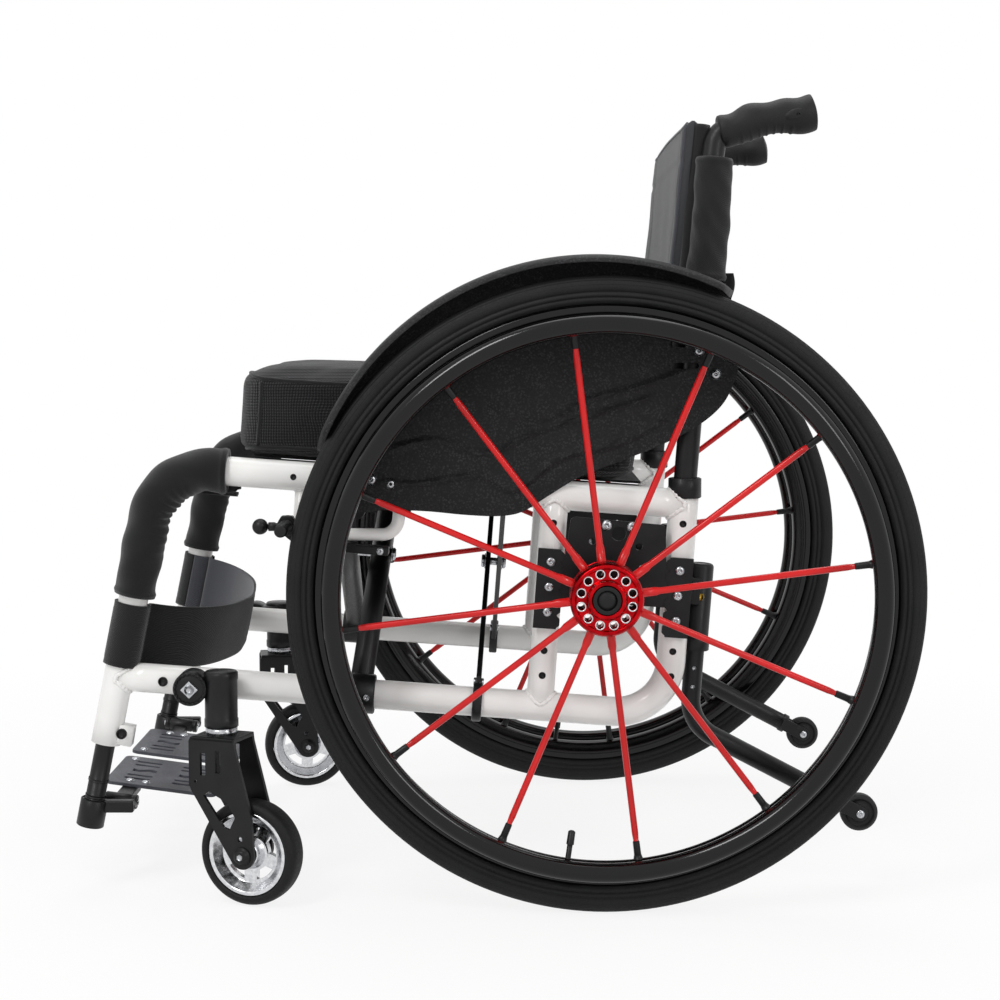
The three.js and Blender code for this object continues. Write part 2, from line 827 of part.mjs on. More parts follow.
function casterFork() {
  const foot = casterTrail;
  const outer = forkInsideWidth / 2 + forkThickness;
  const outline = [
    [-24, forkTop],
    [-24, 112],
    ...arc([foot, casterRadius - 4], 10, 205, 360, 5),
    [foot + 9, 92],
    [24, forkTop],
  ];
  const window_ = [
    [-6, 104],
    [14, 108],
    [24, 84],
    [14, 76],
  ];
  const slots = [[-12, 124], [4, 127]].map(([y, z]) => [
    [y, z],
    [y + 5, z],
    [y + 5, z + 20],
    [y, z + 20],
  ]);
  const legs = [-outer, outer - forkThickness].map(
    (x) => plate(outline, x, x + forkThickness, [window_, ...slots]),
  );
  const crown = block([-outer, -24, forkTop - forkThickness], [outer, 24, forkTop]);
  const bores = [
    bar(v3(0, 0, forkTop - 20), v3(0, 0, forkTop + 5), casterStemRadius + gap, 10),
    bar(v3(-40, foot, casterRadius), v3(40, foot, casterRadius), 4 + gap, 8),
  ];
  return cut(join(crown, ...legs), ...bores);
}

function casterRim() {
  const w = casterTyreWidth / 2 - 1;
  const r = casterRimRadius;
  return turned(
    [
      [-w, r],
      [-w, r - 4],
      [-3, r - 10],
      [-3, 12],
      [-w, 4.4],
      [w, 4.4],
      [3, 12],
      [3, r - 10],
      [w, r - 4],
      [w, r],
    ],
    casterSides,
    placed(0, casterTrail, casterRadius),
  );
}

function casterTyre() {
  const w = casterTyreWidth / 2;
  const inner = casterRimRadius + gap;
  return turned(
    [
      [-w, inner],
      [w, inner],
      [w, casterRadius - 6],
      [w - 5, casterRadius - 1],
      [0, casterRadius],
      [-w + 5, casterRadius - 1],
      [-w, casterRadius - 6],
    ],
    casterSides,
    placed(0, casterTrail, casterRadius),
  );
}

function casterAxle() {
  const half = forkInsideWidth / 2 + forkThickness;
  const at = (x) => v3(x, casterTrail, casterRadius);
  const heads = [-1, 1].map((s) => bar(at(s * (half + gap)), at(s * (half + 4)), 6.5, 6));
  return join(bar(at(-half - 2), at(half + 2), 4, 8), ...heads);
}

// --- scissor brace, seat and backrest --------------------------------------

// One half of the scissor: collars round one lower tube, two bars, and the far seat rail.
// footSide is 1 for the half that stands on the left frame, -1 for the right.
function braceHalf(footSide, frontY, rearY) {
  const foot = (y) => v3(footSide * frameHalfWidth, y, lowerTubeZ);
  const head = (y) => v3(-footSide * railX, y, railZ);
  const along = head(0).sub(foot(0)).normalize();
  const collar = (y, length) =>
    bar(foot(y).add(v3(0, -length / 2, 0)), foot(y).add(v3(0, length / 2, 0)), collarRadius, 14);
  const rail = bar(head(railFrontY), head(railRearY), railRadius, 12);
  const frontBar = bar(foot(frontY), head(frontY), braceRadius, 12);
  const lean = Math.atan2(along.z, along.x);
  const length = head(0).distanceTo(foot(0));
  const flat = new THREE.BoxGeometry(length, rearBarThickness, rearBarWidth);
  flat.translate(length / 2, 0, 0);
  flat.rotateY(-lean);
  flat.translate(...foot(rearY).toArray());
  const whole = join(
    rail,
    frontBar,
    solid(flat),
    collar(frontY, collarLength),
    collar(rearY, rearCollarLength),
  );
  const tubeBore = bar(foot(frontY - 40), foot(rearY + 40), frameTubeRadius + runningGap, 14);
  const centre = scissorCentre();
  const bolt = bar(v3(0, -330, centre), v3(0, -40, centre), braceBoltRadius + runningGap, 8);
  return cut(whole, tubeBore, bolt);
}

// Height of the scissor's centre bolt, where the two halves cross.
function scissorCentre() {
  return lowerTubeZ + ((railZ - lowerTubeZ) * frameHalfWidth) / (frameHalfWidth + railX);
}

function braceBolt(fromY, toY, halfThickness) {
  const z = scissorCentre();
  const heads = [fromY - halfThickness - gap - 4, toY + halfThickness + gap];
  const shank = bar(v3(0, heads[0] + 1, z), v3(0, heads[1] + 3, z), braceBoltRadius, 8);
  return join(shank, ...heads.map((y) => bar(v3(0, y, z), v3(0, y + 4, z), 7.5, 6)));
}

function seatSling() {
  const bottom = railZ + railRadius + gap;
  return block([-railX - 4, railFrontY, bottom], [railX + 4, railRearY, bottom + slingThickness]);
}

function cushion() {
  const bottom = railZ + railRadius + slingThickness + 2 * gap;
  const edge = 14;
  const outline = [
    [cushionFrontY + 4, bottom],
    [cushionRearY, bottom],
    [cushionRearY, bottom + cushionRearHeight - edge],
    [cushionRearY - edge, bottom + cushionRearHeight],
    [cushionFrontY + 20, bottom + cushionFrontHeight + 2],
    [cushionFrontY + 6, bottom + cushionFrontHeight - 5],
    [cushionFrontY, bottom + cushionFrontHeight - 22],
    [cushionFrontY, bottom + 10],
  ];
  return plate(outline, -cushionHalfWidth, cushionHalfWidth);
}

function backrest() {
  const caneAt = (z) => 75.2 + ((caneTopY - 75.2) * (z - 389)) / (caneTopZ - 389);
  const frontAt = (z) => caneAt(z) - caneRadius - 1 - backrestThickness;
  const outline = [
    [frontAt(backrestBottomZ), backrestBottomZ],
    [caneAt(backrestBottomZ) - caneRadius - 1, backrestBottomZ],
    [caneAt(backrestTopZ - 18) - caneRadius - 1, backrestTopZ - 18],
    [caneAt(backrestTopZ) - caneRadius - 6, backrestTopZ],
    [frontAt(backrestTopZ) + 7, backrestTopZ],
    [frontAt(backrestTopZ - 10), backrestTopZ - 10],
  ];
  return plate(outline, -caneTopX, caneTopX);
}

// The strap in axes along the legs: a band sagging back between two loops round the legs.
function calfStrap() {
  const loopInner = frameTubeRadius + 2 * gap;
  const loopOuter = loopInner + strapThickness;
  const reach = frameHalfWidth - loopInner - 1;
  const sweep = (offset) => {
    const steps = 14;
    return Array.from({ length: steps + 1 }, (_, i) => {
      const angle = (Math.PI * i) / steps;
      return [(strapSag + offset) * Math.sin(angle) + 2, -(reach + offset) * Math.cos(angle)];
    });
  };
  const outline = [...sweep(strapThickness), ...sweep(0).reverse()];
  const shape = new THREE.Shape(outline.map(([y, x]) => new THREE.Vector2(x, y)));
  const band = new THREE.ExtrudeGeometry(shape, { depth: strapHeight, bevelEnabled: false });
  const bandSolid = solid(band).volume() < 0 ? solid(reversed(band)) : solid(band);
  const loops = [-1, 1].map((side) => {
    const x = side * frameHalfWidth;
    return bar(v3(x, 0, 0), v3(x, 0, strapHeight), loopOuter, 14);
  });
  const legs = [-1, 1].map((side) => {
    const x = side * frameHalfWidth;
    return bar(v3(x, 0, -10), v3(x, 0, strapHeight + 10), loopInner, 14);
  });
  return cut(join(bandSolid, ...loops), ...legs);
}

// --- assembly -------------------------------------------------------------

// The whole chair stands in axes at the rear axle's place on the floor.
const chair = new THREE.Group();

// Axes at the rear axle, leaning with the frame.
function leaningGroup() {
  const group = new THREE.Group();
  group.position.z = wheelRadius;
  group.rotation.x = -pitch;
  return group;
}

function buildSide(side) {
  const half = new THREE.Group();
  half.scale.x = side === "left" ? 1 : -1;
  chair.add(half);
  const leaning = leaningGroup();
  half.add(leaning);
  const named = (name) => side + "_" + name;

  add(leaning, named("side_frame"), sideFrame(), "frameWhite");
  add(leaning, named("axle_plate"), axlePlate(), "satinBlack");
  add(leaning, named("axle"), axle(), "steel");
  add(leaning, named("footrest_tube"), footrestTube(), "satinBlack");
  add(leaning, named("back_cane"), pipe(canePath(caneSocketDepth), caneRadius, 10), "satinBlack");
  add(leaning, named("push_grip"), pushGrip(), "gripRubber");
  add(leaning, named("brake_bracket"), brakeBracket(), "satinBlack");
  add(leaning, named("brake_lever"), brakeLever(), "satinBlack");
  add(leaning, named("antitip_receiver"), antitipReceiver(), "satinBlack");
  add(leaning, named("antitip_tube"), antitipTube(), "satinBlack");
  add(leaning, named("antitip_roller"), antitipRoller(), "gripRubber");
  add(leaning, named("knee_sleeve"), kneeSleeve(), "neoprene");
  const plateMesh = add(leaning, named("footplate"), footplate(), "footplateGrey");
  plateMesh.position.copy(onFrame(0, footHingeY, footHingeZ));
  plateMesh.rotation.x = -rad(legLean);

  add(half, named("side_guard"), sideGuard(), "guardBlack");
  add(half, named("caster_housing"), casterHousing(), "satinBlack");
  add(half, named("caster_bolt"), casterBolt(), "steel");

  const wheel = new THREE.Group();
  wheel.position.z = wheelRadius;
  half.add(wheel);
  add(wheel, named("hub"), hub(), "redAnodised");
  add(wheel, named("spokes"), spokes(), "spokeRed");
  add(wheel, named("rim"), rim(), "glossBlack");
  add(wheel, named("tyre"), tyre(), "tyreRubber");
  add(wheel, named("handrim"), handrim(), "glossBlack");

  const caster = new THREE.Group();
  caster.position.set(casterX, casterY, 0);
  caster.rotation.z = -rad(casterSwivel[side]);
  half.add(caster);
  add(caster, named("caster_stem"), casterStem(), "steel");
  add(caster, named("caster_fork"), casterFork(), "satinBlack");
  add(caster, named("caster_rim"), casterRim(), "polished");
  add(caster, named("caster_tyre"), casterTyre(), "tyreRubber");
  add(caster, named("caster_axle"), casterAxle(), "satinBlack");
}

buildSide("left");
buildSide("right");

const middle = leaningGroup();
chair.add(middle);
add(middle, "left_brace", braceHalf(1, frontBraceY.left, rearBraceY.left), "satinBlack");
add(middle, "right_brace", braceHalf(-1, frontBraceY.right, rearBraceY.right), "satinBlack");
add(middle, "front_brace_bolt", braceBolt(frontBraceY.right, frontBraceY.left, braceRadius), "steel");
add(middle, "rear_brace_bolt", braceBolt(rearBraceY.left, rearBraceY.right, rearBarThickness / 2), "steel");
add(middle, "seat_sling", seatSling(), "nylon");
add(middle, "cushion", cushion(), "airMesh");

add(chair, "backrest", backrest(), "nylon");

// The strap's axes lie along the legs, with their origin at its lower edge on the legs' line.
const strapAxes = new THREE.Group();
const legLeanOverFloor = rad(legLean + framePitch);
const legFloorPoint = legEnd.clone().applyAxisAngle(v3(1, 0, 0), -pitch).add(v3(0, 0, wheelRadius));
strapAxes.position.set(
  0,
  legFloorPoint.y + (strapBottom - legFloorPoint.z) * Math.tan(legLeanOverFloor),
  strapBottom,
);
strapAxes.rotation.x = -legLeanOverFloor;
chair.add(strapAxes);
add(strapAxes, "calf_strap", calfStrap(), "webbing");

// The origin is on the floor at the middle of the chair's bounding box.
chair.updateMatrixWorld(true);
const bounds = new THREE.Box3().setFromObject(chair, true);
chair.position.set(0, -(bounds.min.y + bounds.max.y) / 2, -bounds.min.z);

export default chair;
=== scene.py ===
import bpy
import math
import numpy as np
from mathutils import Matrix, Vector


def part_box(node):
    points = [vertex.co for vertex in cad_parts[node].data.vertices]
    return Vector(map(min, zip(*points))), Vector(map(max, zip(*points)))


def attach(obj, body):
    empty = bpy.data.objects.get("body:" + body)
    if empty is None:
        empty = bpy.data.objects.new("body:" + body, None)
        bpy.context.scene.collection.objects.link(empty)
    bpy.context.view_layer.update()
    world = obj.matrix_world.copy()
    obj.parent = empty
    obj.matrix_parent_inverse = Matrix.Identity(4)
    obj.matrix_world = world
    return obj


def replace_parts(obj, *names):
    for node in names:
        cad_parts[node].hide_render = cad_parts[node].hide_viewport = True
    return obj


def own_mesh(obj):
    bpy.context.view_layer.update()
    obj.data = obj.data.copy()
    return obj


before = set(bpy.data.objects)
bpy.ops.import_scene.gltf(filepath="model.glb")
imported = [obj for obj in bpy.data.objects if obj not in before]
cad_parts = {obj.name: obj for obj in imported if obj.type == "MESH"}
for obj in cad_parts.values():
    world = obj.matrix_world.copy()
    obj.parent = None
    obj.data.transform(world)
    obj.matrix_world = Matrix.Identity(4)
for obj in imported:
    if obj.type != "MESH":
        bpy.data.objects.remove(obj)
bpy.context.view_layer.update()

# Everything is in metres. +Y is the chair's rear, +X the sitter's left, +Z up.
tyreLow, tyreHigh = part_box("left_tyre")
wheel = {
    "x": (tyreLow[0] + tyreHigh[0]) / 2,
    "y": (tyreLow[1] + tyreHigh[1]) / 2,
    "z": (tyreLow[2] + tyreHigh[2]) / 2,
    "radius": (tyreHigh[2] - tyreLow[2]) / 2,
    "width": tyreHigh[0] - tyreLow[0],
}
frameLean = math.radians(4.1)  # the frame leans back about the rear axle
legLean = math.radians(7.6)  # and the leg leans back further still
sides = {"left": 1, "right": -1}


# A place in the frame's own leaning axes, in millimetres from the axle, as a point in the row.
def onFrame(x, y, z):
    c, s = math.cos(frameLean), math.sin(frameLean)
    return np.array([x, y * c + z * s, z * c - y * s]) / 1000 + np.array([0, wheel["y"], wheel["z"]])


# A place given by its distance behind the axle and its height over the floor, in millimetres.
def overFloor(x, y, z):
    return np.array([x / 1000, y / 1000 + wheel["y"], z / 1000])


# --- mesh helpers
def gridFaces(rows, columns, closeRows=False, closeColumns=False, start=0):
    r = np.arange(rows if closeRows else rows - 1)
    c = np.arange(columns if closeColumns else columns - 1)
    r, c = (a.ravel() for a in np.meshgrid(r, c, indexing="ij"))
    down, right = (r + 1) % rows, (c + 1) % columns
    quads = np.stack([r * columns + c, down * columns + c, down * columns + right, r * columns + right], 1)
    return (quads + start).tolist()


def makePiece(name, points, faces, material, body, side=1, smooth=True):
    points = np.asarray(points, float).reshape(-1, 3) * [side, 1, 1]
    if side < 0:
        faces = [list(reversed(face)) for face in faces]
    mesh = bpy.data.meshes.new(name)
    mesh.from_pydata(points.tolist(), [], faces)
    mesh.validate()
    mesh.polygons.foreach_set("use_smooth", [smooth] * len(mesh.polygons))
    piece = bpy.data.objects.new(name, mesh)
    bpy.context.collection.objects.link(piece)
    if material:
        mesh.materials.append(materials[material])
    if body:
        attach(piece, body)
    return piece


# Several shells as one list of points and faces.
def gather(shells):
    points, faces, count = [], [], 0
    for shellPoints, shellFaces in shells:
        shellPoints = np.asarray(shellPoints, float).reshape(-1, 3)
        points.append(shellPoints)
        faces += [[i + count for i in face] for face in shellFaces]
        count += len(shellPoints)
    return np.concatenate(points), faces


# A path through corner points with round bends: straight runs, and an arc tangent to both at each corner.
def bentPath(corners, bends, bendSteps=10, runStep=0.02):
    corners = [np.asarray(c, float) for c in corners]
    ends = [corners[0]]
    pieces = []
    for i in range(1, len(corners) - 1):
        into = corners[i] - corners[i - 1]
        out = corners[i + 1] - corners[i]
        into, out = into / np.linalg.norm(into), out / np.linalg.norm(out)
        turn = math.acos(np.clip(into @ out, -1, 1))
        inward = out - into * (into @ out)
        inward = inward / max(np.linalg.norm(inward), 1e-9)
        startPoint = corners[i] - into * bends[i - 1] * math.tan(turn / 2)
        angles = np.linspace(0, turn, bendSteps)[:, None]
        centre = startPoint + inward * bends[i - 1]
        arc = centre - inward * bends[i - 1] * np.cos(angles) + into * bends[i - 1] * np.sin(angles)
        pieces.append((ends[-1], arc))
        ends.append(arc[-1])
    pieces.append((ends[-1], corners[-1][None]))
    path = []
    for fromPoint, arc in pieces:
        steps = max(2, int(np.linalg.norm(arc[0] - fromPoint) / runStep) + 1)
        run = fromPoint + (arc[0] - fromPoint) * np.linspace(0, 1, steps)[:, None]
        path.append(run[:-1] if len(path) == 0 else run[1:-1])
        path.append(arc)
    path = np.concatenate(path)
    keep = np.r_[True, np.linalg.norm(np.diff(path, axis=0), axis=1) > 1e-6]
    return path[keep]


def directions(path):
    along = np.gradient(path, axis=0)
    return along / np.linalg.norm(along, axis=1, keepdims=True)


# A closed section carried along a path: point = path + radius * (cos a * side + sin a * up),
# with side the given direction made square to the path, and both ends closed by a fan.
def sweep(path, radius, count=36, sideways=(1, 0, 0), squash=1.0):
    path = np.asarray(path, float)
    along = directions(path)
    across = np.array(sideways, float) - along * (along @ np.array(sideways, float))[:, None]
    across /= np.linalg.norm(across, axis=1, keepdims=True)
    up = np.cross(along, across)
    angle = np.linspace(0, 2 * np.pi, count, endpoint=False)
    radius = np.broadcast_to(np.asarray(radius, float), (len(path),)) if np.ndim(radius) < 2 else radius
    reach = radius[:, None] if np.ndim(radius) < 2 else radius
    ring = (reach * np.cos(angle))[..., None] * across[:, None] * squash
    ring = ring + (reach * np.sin(angle))[..., None] * up[:, None]
    points = (path[:, None] + ring).reshape(-1, 3)
    faces = gridFaces(len(path), count, closeColumns=True)
    faces = [face[::-1] for face in faces]
    total = len(points)
    points = np.vstack([points, path[0], path[-1]])
    last = (len(path) - 1) * count
    faces += [[total, i, (i + 1) % count] for i in range(count)]
    faces += [[total + 1, last + (i + 1) % count, last + i] for i in range(count)]
    return points, [face[::-1] for face in faces]


def rod(start, end, radius, count=24, sideways=(1, 0, 0)):
    start, end = np.asarray(start, float), np.asarray(end, float)
    length = np.linalg.norm(end - start)
    along = (end - start) / length
    if abs(along @ np.array(sideways)) > 0.9:
        sideways = (0, 0, 1)
    bevel = min(radius * 0.15, length * 0.3, 0.0008)
    places = [start, start + along * bevel, end - along * bevel, end]
    return sweep(np.array(places), np.array([radius - bevel, radius, radius, radius - bevel]), count, sideways)


# A closed outline of (x, radius) corners turned round an axis along X through the centre.
def turned(outline, centre, count=96, closed=True):
    outline = np.asarray(outline, float)
    angle = np.linspace(0, 2 * np.pi, count, endpoint=False)
    x = np.repeat(outline[:, 0][:, None], count, 1) + centre[0]
    y = outline[:, 1][:, None] * np.cos(angle) + centre[1]
    z = outline[:, 1][:, None] * np.sin(angle) + centre[2]
    points = np.stack([x, y, z], -1).reshape(-1, 3)
    return points, gridFaces(len(outline), count, closeRows=closed, closeColumns=True)


# Rounds the corners of an outline: each corner becomes a short arc-like curve of a few points.
def softened(outline, radius, steps=4):
    outline = np.asarray(outline, float)
    before, after = np.roll(outline, 1, 0), np.roll(outline, -1, 0)
    toBefore, toAfter = before - outline, after - outline
    lengthBefore = np.linalg.norm(toBefore, axis=1, keepdims=True)
    lengthAfter = np.linalg.norm(toAfter, axis=1, keepdims=True)
    cut = np.minimum(radius, 0.45 * np.minimum(lengthBefore, lengthAfter))
    a = outline + toBefore / lengthBefore * cut
    b = outline + toAfter / lengthAfter * cut
    t = np.linspace(0, 1, steps)[None, :, None]
    curve = (1 - t) ** 2 * a[:, None] + 2 * t * (1 - t) * outline[:, None] + t**2 * b[:, None]
    return curve.reshape(-1, outline.shape[1])


# Makes every face of a piece point outwards.
def faceOutwards(piece):
    import bmesh

    work = bmesh.new()
    work.from_mesh(piece.data)
    bmesh.ops.remove_doubles(work, verts=work.verts, dist=1e-6)
    bmesh.ops.recalc_face_normals(work, faces=work.faces)
    work.to_mesh(piece.data)
    work.free()
    return piece


def addModifier(piece, kind, **settings):
    modifier = piece.modifiers.new(kind.title(), kind)
    for key, value in settings.items():
        setattr(modifier, key, value)
    return modifier


# Moves a line onto the nearest surface of a piece, and out by a little.
def snapTo(piece, line, out):
    from mathutils.bvhtree import BVHTree

    tree = BVHTree.FromObject(piece, bpy.context.evaluated_depsgraph_get())
    placed = []
    for point in line:
        hit, normal, _, _ = tree.find_nearest(Vector(point))
        placed.append(np.array(hit) + np.array(normal) * out)
    return np.array(placed)


# --- materials
def colour(code):
    parts = [int(code[i : i + 2], 16) / 255 for i in (1, 3, 5)]
    linear = [p / 12.92 if p <= 0.04045 else ((p + 0.055) / 1.055) ** 2.4 for p in parts]
    return (*linear, 1)


materials = {}


def addNode(tree, kind, inputs=None, **settings):
    made = tree.nodes.new(kind)
    for key, value in settings.items():
        setattr(made, key, value)
    for key, value in (inputs or {}).items():
        socket = made.inputs[key]
        if isinstance(value, bpy.types.NodeSocket):
            tree.links.new(value, socket)
        else:
            socket.default_value = value
    return made


# A principled material with its fixed values, and its tree, shader and object coordinates.
def startMaterial(name, **values):
    material = bpy.data.materials.new(name)
    material.use_nodes = True
    tree = material.node_tree
    shader = tree.nodes["Principled BSDF"]
    for key, value in values.items():
        shader.inputs[key.replace("_", " ")].default_value = value
    if not values.get("Metallic"):
        shader.inputs["Specular IOR Level"].default_value = 0.28
    materials[name] = material
    place = addNode(tree, "ShaderNodeTexCoord").outputs["Object"]
    return tree, shader, place


def bumpFrom(tree, shader, height, distance, strength=1.0):
    bump = addNode(tree, "ShaderNodeBump", {"Height": height, "Strength": strength, "Distance": distance})
    tree.links.new(bump.outputs["Normal"], shader.inputs["Normal"])


# Two colours mixed by a factor, into the shader's base colour.
def mixColours(tree, shader, factor, dark, light):
    mix = addNode(tree, "ShaderNodeMix", {0: factor, 6: colour(dark), 7: colour(light)}, data_type="RGBA")
    tree.links.new(mix.outputs[2], shader.inputs["Base Color"])
    return mix


def noise(tree, place, size, detail=3.0, roughness=0.5):
    made = addNode(tree, "ShaderNodeTexNoise", {"Vector": place, "Scale": 1 / size, "Detail": detail, "Roughness": roughness})
    return made.outputs["Fac"]


def maths(tree, operation, first, second=0.0):
    return addNode(tree, "ShaderNodeMath", {0: first, 1: second}, operation=operation).outputs[0]


def stretch(tree, value, low, high, toLow=0.0, toHigh=1.0):
    inputs = {"Value": value, "From Min": low, "From Max": high, "To Min": toLow, "To Max": toHigh}
    return addNode(tree, "ShaderNodeMapRange", inputs).outputs[0]


# Rubber, moulded and dull: fine grit breaks up the light.
def tyreRubber():
    tree, shader, place = startMaterial("tyre_rubber", Roughness=0.6, IOR=1.5)
    grit = noise(tree, place, 0.0015, 4)
    mixColours(tree, shader, stretch(tree, noise(tree, place, 0.03, 2), 0.35, 0.65), "#070708", "#0E0E0F")
    roughness = stretch(tree, grit, 0.3, 0.7, 0.5, 0.72)
    tree.links.new(roughness, shader.inputs["Roughness"])
    bumpFrom(tree, shader, grit, 0.0002, 0.5)


# Grip rubber: the same, with a pebbled skin of about a millimetre.
def gripRubber():
    tree, shader, place = startMaterial("grip_rubber", Roughness=0.55, IOR=1.5)
    pebbles = addNode(tree, "ShaderNodeTexVoronoi", {"Vector": place, "Scale": 1 / 0.0012}).outputs["Distance"]
    mixColours(tree, shader, stretch(tree, noise(tree, place, 0.02), 0.3, 0.7), "#0C0C0D", "#141416")
    bumpFrom(tree, shader, pebbles, 0.00025, 0.6)


# Powder coat or lacquer: a hard gloss skin with a faint orange peel.
def enamel(name, dark, light, roughness, coat, peel=0.004):
    tree, shader, place = startMaterial(name, Roughness=roughness, IOR=1.5, Coat_Weight=coat, Coat_Roughness=0.08)
    mixColours(tree, shader, stretch(tree, noise(tree, place, 0.06, 2), 0.35, 0.65), dark, light)
    bumpFrom(tree, shader, noise(tree, place, peel, 2), 0.00015, 0.25)


# Black anodised or satin powder coat: fine grain in the gloss and paler where it is rubbed.
def satinBlack(name, dark, light, roughness):
    tree, shader, place = startMaterial(name, Roughness=roughness, IOR=1.5)
    grain = noise(tree, place, 0.0012, 3)
    mixColours(tree, shader, stretch(tree, noise(tree, place, 0.025, 4), 0.35, 0.7), dark, light)
    tree.links.new(stretch(tree, grain, 0.3, 0.7, roughness - 0.1, roughness + 0.1), shader.inputs["Roughness"])
    bumpFrom(tree, shader, grain, 0.0001, 0.4)


# Anodised aluminium keeps the lathe's fine rings under a clear dyed film.
def anodised(name, dark, light, roughness=0.24):
    tree, shader, place = startMaterial(name, Roughness=roughness, Metallic=1.0)
    mixColours(tree, shader, stretch(tree, noise(tree, place, 0.012, 3), 0.3, 0.7), dark, light)
    rings = addNode(tree, "ShaderNodeTexNoise", {"Vector": place, "Scale": 1 / 0.0006, "Detail": 2.0}).outputs["Fac"]
    tree.links.new(stretch(tree, rings, 0.3, 0.7, roughness - 0.07, roughness + 0.08), shader.inputs["Roughness"])
    bumpFrom(tree, shader, rings, 0.00005, 0.3)


# Zinc-plated steel: bright, lightly brushed.
def plainMetal(name, dark, light, roughness):
    tree, shader, place = startMaterial(name, Roughness=roughness, Metallic=1.0)
    mixColours(tree, shader, stretch(tree, noise(tree, place, 0.004, 4), 0.3, 0.7), dark, light)
    smears = noise(tree, place, 0.008, 3)
    tree.links.new(stretch(tree, smears, 0.3, 0.7, roughness - 0.08, roughness + 0.1), shader.inputs["Roughness"])


# Carbon-look moulded plastic: pale grains scattered over a dark pebbled skin.
def guardBlack():
    tree, shader, place = startMaterial("guard_black", Roughness=0.6, IOR=1.5)
    cells = addNode(tree, "ShaderNodeTexVoronoi", {"Vector": place, "Scale": 1 / 0.0022, "Randomness": 1.0})
    grains = stretch(tree, cells.outputs["Distance"], 0.15, 0.55, 1.0, 0.0)
    patches = stretch(tree, noise(tree, place, 0.009, 3), 0.35, 0.65, 0.2, 1.0)
    mixColours(tree, shader, maths(tree, "MULTIPLY", grains, patches), "#0E0E0F", "#343436")
    bumpFrom(tree, shader, cells.outputs["Distance"], 0.0004, 0.7)


# Woven cloth on object coordinates: two crossing rows of threads at the given spacing, over a fuzzy nap; the colour
# darkens in the dips between the threads as painted shade, and the nap adds random tone.
def woven(name, dark, light, spacing, roughness=0.9, sheen=0.25, depth=0.0003, turn=(0, 0, 0)):
    tree, shader, place = startMaterial(name, Roughness=roughness, IOR=1.45, Sheen_Weight=sheen, Sheen_Roughness=0.5)
    mapped = addNode(tree, "ShaderNodeMapping", {"Vector": place, "Rotation": turn}).outputs[0]
    axes = addNode(tree, "ShaderNodeSeparateXYZ", {0: mapped}).outputs
    across = maths(tree, "SINE", maths(tree, "MULTIPLY", maths(tree, "ADD", axes[0], axes[1]), 2 * math.pi / spacing))
    upwards = maths(tree, "SINE", maths(tree, "MULTIPLY", axes[2], 2 * math.pi / spacing))
    weave = maths(tree, "MULTIPLY", across, upwards)
    nap = noise(tree, place, 0.0012, 4)
    height = maths(tree, "ADD", maths(tree, "MULTIPLY", weave, 0.5), nap)
    # painted shade: the dips of the weave are darker and its crowns paler, while the nap varies the tone at random
    mixColours(tree, shader, stretch(tree, height, 0.1, 1.2), dark, light)
    bumpFrom(tree, shader, height, depth, 0.8)


# Spacer mesh: a knit of small open diamonds in slanting rows, which reads as a herringbone from afar; the open diamonds
# are painted dark as shade inside the holes, and the nap varies the tone at random.
def airMesh():
    tree, shader, place = startMaterial("air_mesh", Roughness=0.9, IOR=1.45, Sheen_Weight=0.3, Sheen_Roughness=0.5)
    axes = addNode(tree, "ShaderNodeSeparateXYZ", {0: place}).outputs
    flat = maths(tree, "ADD", axes[0], axes[1])
    pitchOfKnit = 2 * math.pi / 0.0055  # the knit repeats every 5.5 mm, as it does on the real cover
    first = maths(tree, "SINE", maths(tree, "MULTIPLY", maths(tree, "ADD", flat, axes[2]), pitchOfKnit))
    second = maths(tree, "SINE", maths(tree, "MULTIPLY", maths(tree, "SUBTRACT", flat, axes[2]), pitchOfKnit))
    knit = maths(tree, "MULTIPLY", first, second)
    holes = stretch(tree, knit, -0.2, 0.75)
    nap = noise(tree, place, 0.001, 3)
    # painted shade: the holes of the knit are darkened, and the nap varies the tone at random
    mixColours(tree, shader, maths(tree, "MULTIPLY", holes, stretch(tree, nap, 0.2, 0.8, 0.6, 1.0)), "#040405", "#2C2C2F")
    bumpFrom(tree, shader, holes, 0.0009, 0.9)


print("materials")
tyreRubber()
gripRubber()
enamel("frame_white", "#EEEDEA", "#F5F4F2", 0.28, 0.5)  # powder coat, gloss
enamel("gloss_black", "#020203", "#040405", 0.13, 0.08)  # lacquered rim and handrim
enamel("spoke_red", "#C40C0E", "#D81416", 0.32, 0.2)  # painted spokes
satinBlack("satin_black", "#0B0B0C", "#151517", 0.4)  # anodised tube and forged parts
satinBlack("footplate_grey", "#3C3D44", "#54555C", 0.46)  # hard anodised plate
anodised("red_anodised", "#8A0A10", "#C8141C")
plainMetal("steel", "#9C9EA2", "#C9CBCE", 0.26)
plainMetal("polished_aluminium", "#C4C5C8", "#E4E5E7", 0.2)
plainMetal("brass", "#A8822F", "#D0A848", 0.28)
guardBlack()
woven("neoprene", "#060607", "#101011", 0.0016, roughness=0.85, sheen=0.35, depth=0.0002)
woven("webbing", "#0A0A0B", "#19191B", 0.0024, roughness=0.8, sheen=0.3, depth=0.0004)
woven("webbing_inner", "#3A3B40", "#54555B", 0.0024, roughness=0.9, sheen=0.4, depth=0.0003)
woven("nylon", "#0A0A0B", "#1A1A1C", 0.0018, roughness=0.8, sheen=0.35, depth=0.0003)
woven("nylon_grey", "#303133", "#47484B", 0.0022, roughness=0.9, sheen=0.35, depth=0.0004)
airMesh()


